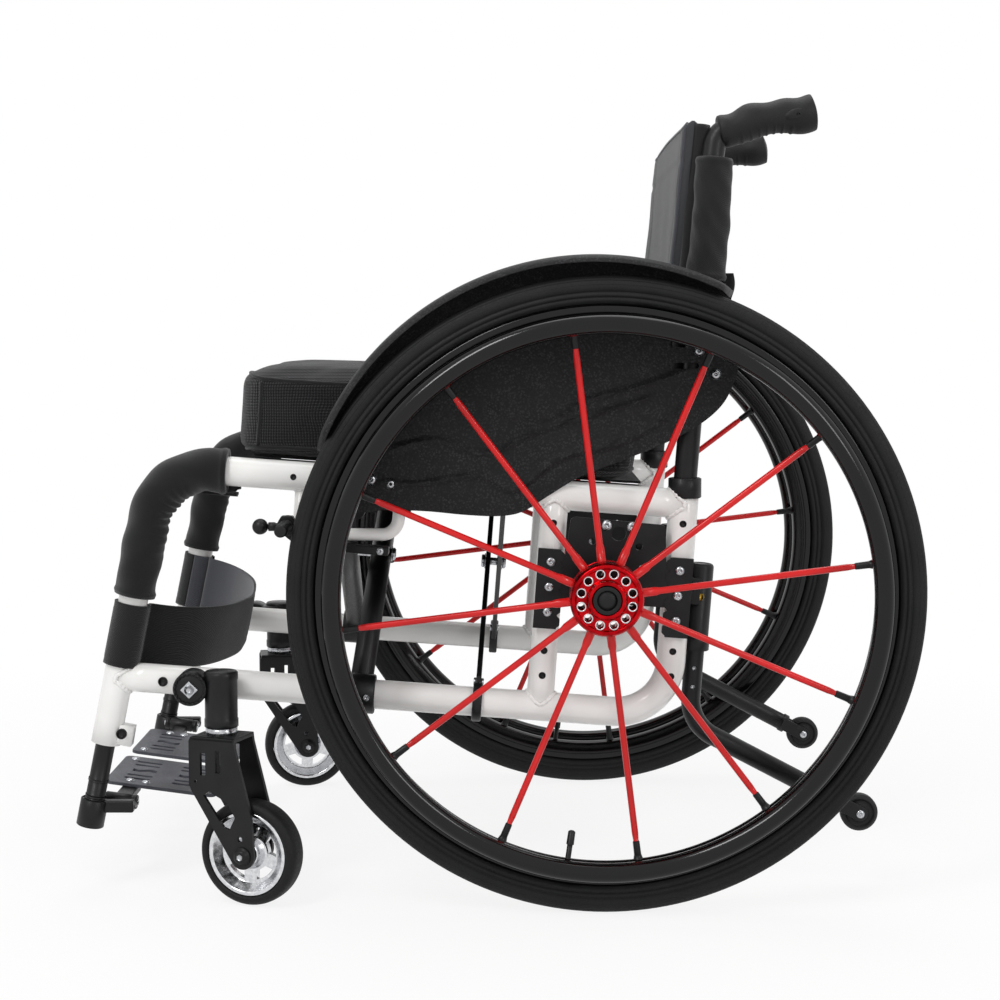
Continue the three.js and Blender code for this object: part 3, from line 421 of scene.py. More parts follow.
# --- wheels
tyreParts = {"halfWidth": 0.0122, "seat": 0.2684, "grooves": 9, "grooveDepth": 0.0006}
rimParts = {"halfWidth": 0.011, "outer": 0.268, "inner": 0.247}
handrimParts = {"x": 0.3, "radius": 0.251, "tube": 0.0093, "tabs": 6, "turn": 22.6}
spokeParts = {"count": 12, "turn": 7.2, "radius": 0.0031, "nipple": 0.0042, "nippleLength": 0.016}
hubParts = {"inner": 0.243, "outer": 0.294, "radius": 0.034, "holes": 12, "holeRing": 0.0242, "hole": 0.0036}


def wheelCentre(x):
    return [x, wheel["y"], wheel["z"]]


# The tyre: a round crown over straight sides, its tread cut by fine rings of a cosine depth.
def tyreOutline(parts):
    half, seat, top = parts["halfWidth"], parts["seat"], wheel["radius"]
    t = np.linspace(-1, 1, 73)
    x = half * np.sin(t * np.pi / 2 * 0.98)
    crown = top - 0.0105 * (1 - np.cos(t * np.pi / 2)) ** 1.4
    groove = parts["grooveDepth"] * np.clip(np.cos(t * np.pi * parts["grooves"]), 0, 1) ** 4
    band = np.where(np.abs(t) < 0.9, groove, 0)
    upper = np.stack([x, crown - band], 1)
    side = [(half, seat + 0.0125), (half - 0.0009, seat + 0.0119), (half - 0.0009, seat + 0.0108), (half, seat + 0.0102)]
    side += [(half - 0.0001, seat + 0.0075), (half - 0.0011, seat + 0.0069), (half - 0.0011, seat + 0.006)]
    side += [(half - 0.0004, seat + 0.0052), (half - 0.001, seat + 0.0028), (half - 0.003, seat)]
    lower = [(-x0, r0) for x0, r0 in side[::-1]]
    return np.vstack([upper, side, lower])


def makeWheel(name, side):
    body = name + "_wheel"
    centre = wheelCentre(wheel["x"])
    tyre = makePiece(name + "_tyre_rubber", *turned(tyreOutline(tyreParts), centre, 192), "tyre_rubber", body, side)
    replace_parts(faceOutwards(tyre), name + "_tyre")

    half, outer, inner = rimParts["halfWidth"], rimParts["outer"], rimParts["inner"]
    outline = [(-half, outer), (-half, outer - 0.008), (-half + 0.0045, inner + 0.0018), (0, inner)]
    outline += [(half - 0.0045, inner + 0.0018), (half, outer - 0.008), (half, outer)]
    rim = makePiece(name + "_rim_hoop", *turned(softened(outline, 0.0025, 6), centre, 192), "gloss_black", body, side)
    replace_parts(faceOutwards(rim), name + "_rim")

    tube, ring = handrimParts["tube"], handrimParts["radius"]
    angle = np.linspace(0, 2 * np.pi, 28, endpoint=False)
    section = np.stack([tube * np.cos(angle), ring + tube * np.sin(angle)], 1)
    shells = [turned(section, wheelCentre(handrimParts["x"]), 192)]
    for i in range(handrimParts["tabs"]):
        a = math.radians(handrimParts["turn"] + 360 / handrimParts["tabs"] * i)
        out = np.array([0, math.cos(a), math.sin(a)])
        start = np.array(centre) + out * (ring + 0.0065) + [half + 0.0004, 0, 0]
        bend = np.array(centre) + out * (ring + 0.0078) + [half + 0.011, 0, 0]
        end = np.array(centre) + out * (ring + 0.004) + [handrimParts["x"] - centre[0] - 0.002, 0, 0]
        path = bentPath([start, bend, end], [0.02], 6)
        shells.append(sweep(path, 0.0062, 20, sideways=out, squash=0.45))
    handrim = makePiece(name + "_handrim_hoop", *gather(shells), "gloss_black", body, side)
    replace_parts(faceOutwards(handrim), name + "_handrim")

    rods, nipples, tabBolts = [], [], []
    for i in range(spokeParts["count"]):
        a = math.radians(spokeParts["turn"] + 360 / spokeParts["count"] * i)
        out = np.array([0, math.cos(a), math.sin(a)])
        at = lambda r: np.array(centre) + out * r
        rodEnd = inner - spokeParts["nippleLength"]
        path = np.array([at(0.0335), at(0.046), at(0.05), at(rodEnd - 0.012), at(rodEnd - 0.008), at(rodEnd + 0.003)])
        radius = np.array([1.35, 1.3, 1.0, 1.0, 1.0, 0.7]) * spokeParts["radius"]
        rods.append(sweep(path, radius, 16))
        ends = np.array([at(rodEnd - 0.001), at(rodEnd), at(inner - 0.004), at(inner + 0.0006)])
        nipples.append(sweep(ends, np.array([0.0027, 0.0032, 0.0034, 0.0046]), 12))
    spokes = makePiece(name + "_spoke_set", *gather(rods), "spoke_red", body, side)
    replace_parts(spokes, name + "_spokes")
    makePiece(name + "_spoke_nipples", *gather(nipples), "satin_black", body, side)

    valveOut = np.array([0, math.cos(math.radians(262)), math.sin(math.radians(262))])
    valveBase = np.array(centre) + valveOut * (inner + 0.001)
    stem = sweep(np.array([valveBase, valveBase - valveOut * 0.018, valveBase - valveOut * 0.0185]), [0.0026, 0.0026, 0.0018], 16)
    cap = sweep(np.array([valveBase - valveOut * 0.014, valveBase - valveOut * 0.026, valveBase - valveOut * 0.027]), [0.0036, 0.0034, 0.002], 16)
    makePiece(name + "_valve", *gather([stem, cap]), "satin_black", body, side)
    makeHub(name, side)


# The hub: a turned flange with a ring of through holes round a raised collar, and a black cap.
def makeHub(name, side):
    body = name + "_wheel"
    p = hubParts
    inner, outer, radius = p["inner"], p["outer"], p["radius"]
    outline = [(inner, 0.007), (inner, 0.014), (0.256, 0.0165), (0.2605, radius - 0.002), (0.262, radius)]
    outline += [(0.2665, radius), (0.268, radius - 0.0035), (0.272, radius - 0.0035), (0.2735, radius)]
    outline += [(outer - 0.006, radius), (outer - 0.003, radius - 0.0022), (outer - 0.003, radius - 0.0048)]
    outline += [(outer - 0.0062, radius - 0.0058), (outer - 0.0062, 0.0186), (outer, 0.0172), (outer, 0.0136)]
    outline += [(outer - 0.006, 0.0136), (outer - 0.006, 0.007)]
    profile = softened(outline, 0.0009, 4)
    hub = makePiece(name + "_hub_body", *turned(profile, wheelCentre(0), 144), "red_anodised", body, side)
    faceOutwards(hub)
    cutters = []
    for i in range(p["holes"]):
        a = 2 * math.pi * (i + 0.5) / p["holes"]
        place = np.array(wheelCentre(0)) + [0, p["holeRing"] * math.cos(a), p["holeRing"] * math.sin(a)]
        cutters.append(rod(place + [0.25, 0, 0], place + [0.31, 0, 0], p["hole"], 24))
    cutAway(hub, cutters, side)
    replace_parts(hub, name + "_hub")
    lips = []
    for i in range(p["holes"]):
        a = 2 * math.pi * (i + 0.5) / p["holes"]
        place = np.array(wheelCentre(0)) + [0, p["holeRing"] * math.cos(a), p["holeRing"] * math.sin(a)]
        ring = [(outer - 0.0066, p["hole"] - 0.0002), (outer - 0.0066, p["hole"] + 0.0011), (outer - 0.0054, p["hole"] + 0.0009)]
        ring += [(outer - 0.0056, p["hole"] - 0.0002)]
        lips.append(turned(softened(ring, 0.0003, 3), place, 28))
    lipPiece = makePiece(name + "_hub_rings", *gather(lips), "polished_aluminium", body, side)
    faceOutwards(lipPiece)
    capOutline = [(outer - 0.005, 0.0), (outer - 0.005, 0.013), (outer + 0.001, 0.013), (outer + 0.0014, 0.0095)]
    capOutline += [(outer - 0.0004, 0.0088), (outer - 0.0006, 0.0)]
    shells = capShell(softened(np.array(capOutline[1:5]), 0.0006, 4), capOutline[0][0], capOutline[-1][0], 72)
    makePiece(name + "_axle_cap", *shells, "satin_black", name + "_frame", side)


# A round cap about the axle: the outline between two centre points that close it.
def capShell(outline, backX, frontX, count, centre=None):
    centre = centre or wheelCentre(0)
    points, faces = turned(outline, centre, count, closed=False)
    total = len(points)
    ends = np.array([[backX + centre[0], centre[1], centre[2]], [frontX + centre[0], centre[1], centre[2]]])
    last = (len(outline) - 1) * count
    faces += [[total, (i + 1) % count, i] for i in range(count)]
    faces += [[total + 1, last + i, last + (i + 1) % count] for i in range(count)]
    return np.vstack([points, ends]), faces


# Cuts tool shells out of a piece for good.
def cutAway(piece, cutters, side=1):
    tool = makePiece("cutter", *gather(cutters), None, None, side)
    faceOutwards(tool)
    cut = addModifier(piece, "BOOLEAN", operation="DIFFERENCE", object=tool, solver="EXACT")
    applied = bpy.data.meshes.new_from_object(piece.evaluated_get(bpy.context.evaluated_depsgraph_get()))
    piece.modifiers.remove(cut)
    piece.data = applied
    bpy.data.objects.remove(tool)
    return piece


# Sharp edges stay sharp where two faces meet at more than the given angle.
def keepEdges(piece, degrees=35):
    import bmesh

    work = bmesh.new()
    work.from_mesh(piece.data)
    for edge in work.edges:
        if len(edge.link_faces) == 2:
            edge.smooth = edge.calc_face_angle(0) < math.radians(degrees)
    work.to_mesh(piece.data)
    work.free()
    return piece


print("wheels")
for name, side in sides.items():
    makeWheel(name, side)


# --- side frame: white tubes, weld beads and plugs
frameParts = {"half": 205, "tube": 14, "post": 13, "lower": -118, "upper": 86, "inner": -52, "rear": 70, "rearBend": 52,
              "kneeY": -429.5, "kneeBend": 60, "legLength": 272, "postTop": 100}
footParts = {"tube": 9.3, "insert": 55, "end": 82}


# Frame-local corners in millimetres as points of the row.
def framePath(corners, bends, **steps):
    path = bentPath([np.array(c, float) for c in corners], bends, runStep=25, **steps)
    return np.array([onFrame(*point) for point in path])


def legPoint(distance, x=None):
    p = frameParts
    x = p["half"] if x is None else x
    down = p["legLength"] - distance
    return (x, p["kneeY"] - down * math.sin(legLean), p["upper"] - down * math.cos(legLean))


# A hollow round tube along a path, open at both ends: the outer wall, the inner wall and flat lips between them.
def tubeShell(path, outer, inner, count=40):
    outside = sweep(path, outer, count)[0][: len(path) * count].reshape(len(path), count, 3)
    inside = sweep(path, inner, count)[0][: len(path) * count].reshape(len(path), count, 3)
    rows = np.concatenate([outside, inside[::-1]])
    return rows.reshape(-1, 3), gridFaces(len(rows), count, closeRows=True, closeColumns=True)


# A weld bead: a small ring round a tube, following the tube it meets, its surface rippled by a sine.
def weldBead(centre, axis, radius, otherAxis, otherRadius, bead=2.3, ripples=26):
    centre, axis, other = (np.asarray(v, float) for v in (centre, axis, otherAxis))
    axis, other = axis / np.linalg.norm(axis), other / np.linalg.norm(other)
    third = np.cross(axis, other)
    third /= np.linalg.norm(third)
    inPlane = np.cross(third, axis)
    angle = np.linspace(0, 2 * np.pi, 120, endpoint=False)
    sideStep = radius * np.sin(angle)
    drop = np.sqrt(np.maximum(otherRadius**2 - sideStep**2, 0))
    lean = (axis @ other) / max(np.linalg.norm(np.cross(axis, other)), 1e-6)
    along = drop + radius * np.cos(angle) * 0 + lean * radius * np.cos(angle)
    line = centre + axis * along[:, None] + inPlane * (radius * np.cos(angle))[:, None] + third * sideStep[:, None]
    size = bead * (1 + 0.12 * np.sin(angle * ripples))
    return ringSweep(line, size)


# A closed loop of a round section, as thick at each point as stated.
def ringSweep(line, size, count=10, squash=1.0):
    ahead = np.roll(line, -1, 0) - np.roll(line, 1, 0)
    ahead /= np.linalg.norm(ahead, axis=1, keepdims=True)
    outward = line - line.mean(0)
    outward -= ahead * np.sum(outward * ahead, 1, keepdims=True)
    outward /= np.linalg.norm(outward, axis=1, keepdims=True)
    up = np.cross(ahead, outward)
    angle = np.linspace(0, 2 * np.pi, count, endpoint=False)
    size = np.broadcast_to(size, (len(line),))[:, None, None]
    points = line[:, None] + size * (np.cos(angle)[None, :, None] * outward[:, None] + squash * np.sin(angle)[None, :, None] * up[:, None])
    return points.reshape(-1, 3), gridFaces(len(line), count, closeRows=True, closeColumns=True)


def makeFrame(name, side):
    p = frameParts
    x = p["half"]
    leg = legPoint(0)
    legFoot = leg[1] + (p["lower"] - leg[2]) * math.tan(legLean)
    mainPath = framePath([leg, (x, p["kneeY"], p["upper"]), (x, p["rear"], p["upper"])], [p["kneeBend"]], bendSteps=20)
    lowerPath = framePath(
        [(x, legFoot, p["lower"]), (x, p["rear"], p["lower"]), (x, p["rear"], p["postTop"])], [p["rearBend"]], bendSteps=22
    )
    postPath = framePath([(x, p["inner"], p["lower"]), (x, p["inner"], p["upper"])], [])
    loopPath = framePath(
        [(x, -293, p["upper"]), (x, -293, 31), (x, -199, 37), (x, -199, p["upper"])], [11, 16], bendSteps=10
    )
    shells = [
        tubeShell(mainPath, 0.014, 0.0098),
        sweep(lowerPath, 0.014, 40),
        sweep(postPath, 0.013, 40),
        sweep(loopPath, 0.006, 24),
    ]
    earLow, earHigh = legPoint(2), legPoint(21)
    ear = [(dx, y, z) for dx in (-8, 8) for y, z in
           [(earLow[1], earLow[2]), (earLow[1] + 25, earLow[2] - 3), (earLow[1] + 27, earHigh[2] - 3), (earHigh[1], earHigh[2])]]
    earPoints = [onFrame(x + dx, y, z) for dx, y, z in ear]
    earFaces = [[0, 1, 2, 3], [7, 6, 5, 4], [0, 4, 5, 1], [1, 5, 6, 2], [2, 6, 7, 3], [3, 7, 4, 0]]
    shells.append((earPoints, earFaces))
    up, back = onFrame(0, 0, 1) - onFrame(0, 0, 0), onFrame(0, 1, 0) - onFrame(0, 0, 0)
    legAxis = onFrame(*legPoint(10)) - onFrame(*legPoint(0))
    welds = [
        (onFrame(x, p["inner"], p["lower"]), up, 0.0132, back, 0.0138),
        (onFrame(x, p["inner"], p["upper"]), -up, 0.0132, back, 0.0138),
        (onFrame(x, legFoot, p["lower"]), back, 0.0142, legAxis, 0.0138),
        (onFrame(x, p["rear"], p["upper"]), -back, 0.0142, up, 0.0138),
        (onFrame(x, -293, p["upper"]), -up, 0.0061, back, 0.0136),
        (onFrame(x, -199, p["upper"]), -up, 0.0061, back, 0.0136),
    ]
    shells += [weldBead(*weld, bead=0.0021 if weld[2] > 0.01 else 0.0013) for weld in welds]
    frameTube = makePiece(name + "_frame_tubes", *gather(shells), "frame_white", name + "_frame", side)
    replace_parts(faceOutwards(frameTube), name + "_side_frame")

    # black end plugs and blank holes in the tubes
    plugs = []
    outside = np.array([1.0, 0, 0])

    def plugAt(point, radius, proud=0.0016):
        return rod(point + outside * 0.0115, point + outside * (0.014 + proud), radius, 24)

    plugs.append(plugAt(onFrame(x, legFoot + 45, p["lower"]), 0.0046))
    for z in (60, -62, -86):
        plugs.append(plugAt(onFrame(x, p["inner"], z), 0.0034, -0.0004))
        plugs.append(plugAt(onFrame(x, p["rear"], z + 8), 0.0034, 0.0004))
    for y in (-150, -300):
        plugs.append(plugAt(onFrame(x, y, p["upper"]), 0.003, 0.0004))
    earMiddle = onFrame(x + 8, (earLow[1] + earHigh[1]) / 2 + 15, (earLow[2] + earHigh[2]) / 2)
    plugs.append(rod(earMiddle - outside * 0.002, earMiddle + outside * 0.004, 0.005, 20))
    makePiece(name + "_frame_plugs", *gather(plugs), "satin_black", name + "_frame", side)


print("frames")
for name, side in sides.items():
    makeFrame(name, side)


# --- canes, grips and backrest
caneParts = {"radius": 0.011, "topX": 190, "topY": 102.2, "topZ": 702.2, "cornerY": 105.5, "cornerZ": 727,
             "endY": 200.5, "endZ": 747, "socket": 55}
gripParts = {"radius": 0.0172, "length": 0.104, "ribs": 7}
sleeveParts = {"bottom": 588, "top": 702, "radius": 0.0185}
backParts = {"bottom": 446, "top": 742, "thickness": 19, "half": 190}


def canePath(inside=0):
    p, f = caneParts, frameParts
    foot = onFrame(f["half"], f["rear"], f["postTop"] - inside)
    mouth = onFrame(f["half"], f["rear"], f["postTop"] + 8)
    top = overFloor(p["topX"], p["topY"], p["topZ"])
    corner = overFloor(p["topX"] - 3, p["cornerY"], p["cornerZ"])
    end = overFloor(p["topX"] - 7, p["endY"] - 6, p["endZ"] - 1)
    return bentPath([foot, mouth, top, corner, end], [0.03, 0.03, 0.02], 10)


def caneY(z):
    return 75.2 + (caneParts["topY"] - 75.2) * (z - 389) / (caneParts["topZ"] - 389)


def caneX(z):
    return 205 + (caneParts["topX"] - 205) * np.clip((z - 389) / (caneParts["topZ"] - 389), 0, 1)


# Grip: a sleeve round the cane's end that swells at the palm, is pinched between the fingers below
# and ribbed above, and closes in a round end.
def makeGrip(name, side):
    p, g = caneParts, gripParts
    start = overFloor(p["topX"] - 3.2, 108.5, 727.2)
    end = overFloor(p["topX"] - 7.2, p["endY"], p["endZ"])
    axis = (end - start) / np.linalg.norm(end - start)
    length = np.linalg.norm(end - start)
    t = np.linspace(0, 1, 90)
    lift = 0.0045 * np.sin(np.pi * np.clip(t * 1.1, 0, 1)) ** 2
    path = start + axis * (t * length)[:, None] + np.array([0, 0, 1]) * (lift - 0.0015)[:, None]
    angle = np.linspace(0, 2 * np.pi, 48, endpoint=False)
    swell = 0.0152 + 0.0028 * np.exp(-(((t - 0.86) / 0.14) ** 2)) + 0.0012 * np.exp(-(((t - 0.3) / 0.2) ** 2))
    swell = swell * np.clip(np.sqrt(np.clip((1 - t) / 0.035, 0, 1)), 0.25, 1) * (0.93 + 0.07 * np.clip(t / 0.05, 0, 1))
    below = np.clip(-np.sin(angle), 0, 1)[None, :]
    above = np.clip(np.sin(angle), 0, 1)[None, :]
    fingers = 0.0013 * np.cos(t * 2 * np.pi * 3)[:, None] * below**1.5 * (np.sin(np.pi * np.clip(t * 1.05, 0, 1)) > 0)[:, None]
    ribs = 0.0008 * np.clip(np.cos(t * 2 * np.pi * 11), 0, 1)[:, None] ** 2 * above**2 * ((t > 0.12) & (t < 0.8))[:, None]
    reach = swell[:, None] + fingers + ribs
    points, faces = sweep(path, reach, 48)
    grip = makePiece(name + "_grip_rubber", points, faces, "grip_rubber", name + "_frame", side)
    panel = ovalPad(path[70], axis, np.array([1.0, 0, 0]), 0.013, 0.0062, 0.0158, 0.0022)
    makePiece(name + "_grip_panel", *panel, "grip_rubber", name + "_frame", side)
    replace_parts(faceOutwards(grip), name + "_push_grip")


# A low oval pad on a round side: an ellipse whose height falls off by the square of its radius.
def ovalPad(centre, along, out, halfLength, halfWidth, distance, height, count=40, rings=8):
    across = np.cross(out, along)
    r = np.linspace(0, 1, rings)[:, None]
    a = np.linspace(0, 2 * np.pi, count, endpoint=False)[None, :]
    u, v = r * np.cos(a) * halfLength, r * np.sin(a) * halfWidth
    h = distance + height * (1 - r**6) - v**2 / (2 * distance) - 0.0006 * (r > 0.99)
    points = centre + u[..., None] * along + v[..., None] * across + h[..., None] * out
    points = points[1:].reshape(-1, 3)
    faces = gridFaces(rings - 1, count, closeColumns=True)
    top = centre + out * (distance + height)
    bottom = centre + out * (distance - 0.004)
    total = len(points)
    last = (rings - 2) * count
    faces += [[total, (i + 1) % count, i] for i in range(count)]
    faces += [[total + 1, last + i, last + (i + 1) % count] for i in range(count)]
    return np.vstack([points, top, bottom]), faces


# Cloth round the cane: a tube whose radius wanders with a few sines, so it lies in soft folds.
def makeCane(name, side):
    path = canePath(caneParts["socket"])
    cane = makePiece(name + "_cane_tube", *sweep(path, caneParts["radius"], 36), "satin_black", name + "_frame", side)
    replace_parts(cane, name + "_back_cane")
    s = sleeveParts
    z = np.linspace(s["bottom"], s["top"], 70)
    line = np.stack([caneX(z) / 1000, caneY(z) / 1000 + wheel["y"] + 0.001, z / 1000], 1)
    angle = np.linspace(0, 2 * np.pi, 56, endpoint=False)[None, :]
    v = np.linspace(0, 1, 70)[:, None]
    folds = 0.0006 * np.sin(3 * angle + 7 * v) + 0.0004 * np.sin(2 * angle - 17 * v) + 0.0003 * np.sin(5 * angle + 29 * v)
    edge = 0.0012 * (np.exp(-(((v - 0.03) / 0.02) ** 2)) + np.exp(-(((v - 0.97) / 0.02) ** 2)))
    flap = 0.006 * np.clip(np.sin(angle), 0, 1) ** 3 * (1 - 0.4 * v)
    reach = s["radius"] - 0.003 + folds + edge + flap
    sleeve = makePiece(name + "_cane_sleeve", *sweep(line, reach, 56), "nylon", name + "_frame", side)
    faceOutwards(sleeve)
    tail = np.linspace(0, 1, 40)[:, None]
    across = np.linspace(0, 1, 14)[None, :]
    zt = (588 + 6) * (1 - tail) + 566 * tail
    yt = caneY(zt) + 6 + across * 24 + 2.0 * np.sin(tail * 5)
    xt = caneX(zt) - 4 + 1.5 * np.sin(across * 6 + tail * 3)
    sheet = np.stack([xt + 0 * across, yt + 0 * tail, zt + across * 0 - 8 * across * tail], -1) / 1000 + [0, wheel["y"], 0]
    tailPiece = makePiece(name + "_cane_sleeve_tail", sheet, gridFaces(40, 14), "nylon", name + "_frame", side)
    addModifier(tailPiece, "SOLIDIFY", thickness=0.0016, offset=0)
    makeGrip(name, side)
    hinge = onFrame(205, 70, 104)
    clampPath = np.array([hinge - [0, 0, 0.012], hinge - [0, 0, 0.0112], hinge + [0, 0, 0.0062], hinge + [0, 0, 0.007]])
    clamp = sweep(clampPath, np.array([0.0148, 0.0157, 0.0157, 0.0145]), 40)
    makePiece(name + "_cane_clamp", *clamp, "satin_black", name + "_frame", side)


# The back's sling: a padded sheet from cane to cane, hollowed towards the middle like a stretched cloth,
# with stitched channels across it, and a piped edge.
def makeBackrest():
    b = backParts
    z = np.linspace(b["bottom"], b["top"], 90)
    x = np.linspace(-1, 1, 120)
    zz, xx = np.meshgrid(z, x, indexing="ij")
    v = (zz - b["bottom"]) / (b["top"] - b["bottom"])
    behind = caneY(zz) - 12
    hollow = 9 * (1 - xx**2) * (0.3 + 0.7 * np.sin(np.pi * v))
    seamLines = np.exp(-(((v - 0.86) / 0.008) ** 2)) + np.exp(-(((v - 0.14) / 0.008) ** 2))
    channels = 1.3 * np.exp(-(((np.abs(xx) - 0.82) / 0.02) ** 2)) + 1.2 * seamLines
    creases = 0.5 * np.sin(11 * xx + 6 * v) * np.sin(np.pi * v) + 0.35 * np.sin(25 * v + 4 * xx)
    edgeRound = np.sqrt(np.clip(np.minimum(v / 0.035, (1 - v) / 0.035), 0.02, 1))
    sideRound = np.sqrt(np.clip((1 - np.abs(xx)) / 0.03, 0.02, 1))
    half = b["half"] - 2 + 0 * zz
    thick = b["thickness"] * np.minimum(edgeRound, sideRound)
    middle = behind - b["thickness"] / 2
    front = middle - thick / 2 + np.minimum(hollow, 7) * 0.5 + channels + creases
    back = middle + thick / 2 - channels * 0.4
    topDip = -5 * xx**2 * v**6
    points = []
    for depth in (front, back):
        points.append(np.stack([xx * half, depth, zz + topDip], -1) / 1000 + [0, wheel["y"], 0])
    rows, columns = zz.shape
    faces = gridFaces(rows, columns)
    faces += [f[::-1] for f in gridFaces(rows, columns, start=rows * columns)]
    rim = [r * columns for r in range(rows)] + [(rows - 1) * columns + c for c in range(1, columns)]
    rim += [r * columns + columns - 1 for r in range(rows - 2, -1, -1)] + [c for c in range(columns - 2, 0, -1)]
    shift = rows * columns
    faces += [[rim[i], rim[i - 1], rim[i - 1] + shift, rim[i] + shift] for i in range(len(rim))]
    pad = makePiece("backrest_sling", np.concatenate([p.reshape(-1, 3) for p in points]), faces, "nylon_grey", "slings")
    faceOutwards(pad)
    pad.data.materials.append(materials["nylon"])
    behindFaces = [1 if face.normal.y > 0.2 else 0 for face in pad.data.polygons]
    pad.data.polygons.foreach_set("material_index", behindFaces)
    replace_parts(pad, "backrest")
    # piping down the front edges and across the top
    inset = 4
    zs = np.linspace(b["bottom"] + 4, b["top"] - 5, 60)
    down = np.stack([np.full(60, b["half"] - inset), caneY(zs) - 12 - b["thickness"] + 2.2, zs], 1)
    across = np.linspace(1, -1, 60)
    tops = np.stack([across * (b["half"] - inset), np.full(60, down[-1][1]), b["top"] - 7 - 5 * across**2], 1)
    other = down[::-1] * [-1, 1, 1]
    line = np.concatenate([down, tops[1:-1], other]) / 1000 + [0, wheel["y"], 0]
    line = snapTo(pad, line, 0.0002)
    piping = makePiece("backrest_piping", *sweep(line, 0.0016, 12, sideways=(0, 1, 0)), "webbing_inner", "slings")
    faceOutwards(piping)
    # black borders that wrap each cane pocket, seen from the side and the front
    shells = []
    for s in (1, -1):
        zc = np.linspace(b["bottom"] + 3, b["top"] - 8, 70)
        v = np.linspace(0, 1, 70)[:, None]
        angle = np.linspace(0, 2 * np.pi, 40, endpoint=False)[None, :]
        x0 = caneX(zc) - 9
        path = np.stack([s * x0, caneY(zc) - 13, zc], 1) / 1000 + [0, wheel["y"], 0]
        reach = 0.0088 + 0.0004 * np.sin(3 * angle + 8 * v) + 0.0003 * np.sin(19 * v)
        shells.append(sweep(path, reach, 40))
    border = makePiece("backrest_border", *gather(shells), "nylon", "slings")
    faceOutwards(border)
    for piece in (pad, piping, border):
        foldSoft(piece)  # its edges pass between the canes, which lean in


# Gives a soft piece a mesh of its own.
def foldSoft(piece):
    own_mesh(piece)


print("canes and backrest")
for name, side in sides.items():
    makeCane(name, side)
makeBackrest()


# --- side guard, with its fender over the tyre
guardParts = {"inner": 219.35, "outer": 221.95, "thickness": 2.6, "centreY": -11.6, "centreZ": 334.5, "radius": 273,
              "from": 62, "to": 160, "edge": 283, "slotZ": (507, 527), "slotY": (65, 84)}
guardEdge = [(-246, 378), (-232, 369), (-206, 371), (-168, 370), (-130, 366.5), (-98, 365.5), (-76, 370), (-52, 385),
             (-22, 403), (14, 417), (54, 433), (88, 451), (110, 470), (121, 491), (127, 512), (130, 528)]


# A smooth curve through points: Catmull-Rom pieces of a few steps each.
def smoothLine(points, steps=8):
    p = np.asarray(points, float)
    p = np.vstack([2 * p[0] - p[1], p, 2 * p[-1] - p[-2]])
    t = np.linspace(0, 1, steps, endpoint=False)[None, :, None]
    a, b, c, d = (p[i : len(p) - 3 + i, None] for i in range(4))
    curve = 0.5 * (2 * b + (c - a) * t + (2 * a - 5 * b + 4 * c - d) * t**2 + (3 * b - a - 3 * c + d) * t**3)
    return np.vstack([curve.reshape(-1, p.shape[1]), p[-2]])


# Points at equal steps along a line.
def evenly(line, count):
    length = np.r_[0, np.cumsum(np.linalg.norm(np.diff(line, axis=0), axis=1))]
    at = np.linspace(0, length[-1], count)
    return np.stack([np.interp(at, length, line[:, i]) for i in range(line.shape[1])], 1)


# The ridge pressed into the guard: how far it stands out at a place, as a bump across a waving line.
def ridge(y, z, points, width, height):
    line = smoothLine(points, 10)
    order = np.argsort(line[:, 0])
    middle = np.interp(y, line[order, 0], line[order, 1])
    ends = np.clip((y - line[:, 0].min()) / 12, 0, 1) * np.clip((line[:, 0].max() - y) / 12, 0, 1)
    return height * np.exp(-(((z - middle) / width) ** 2)) * ends


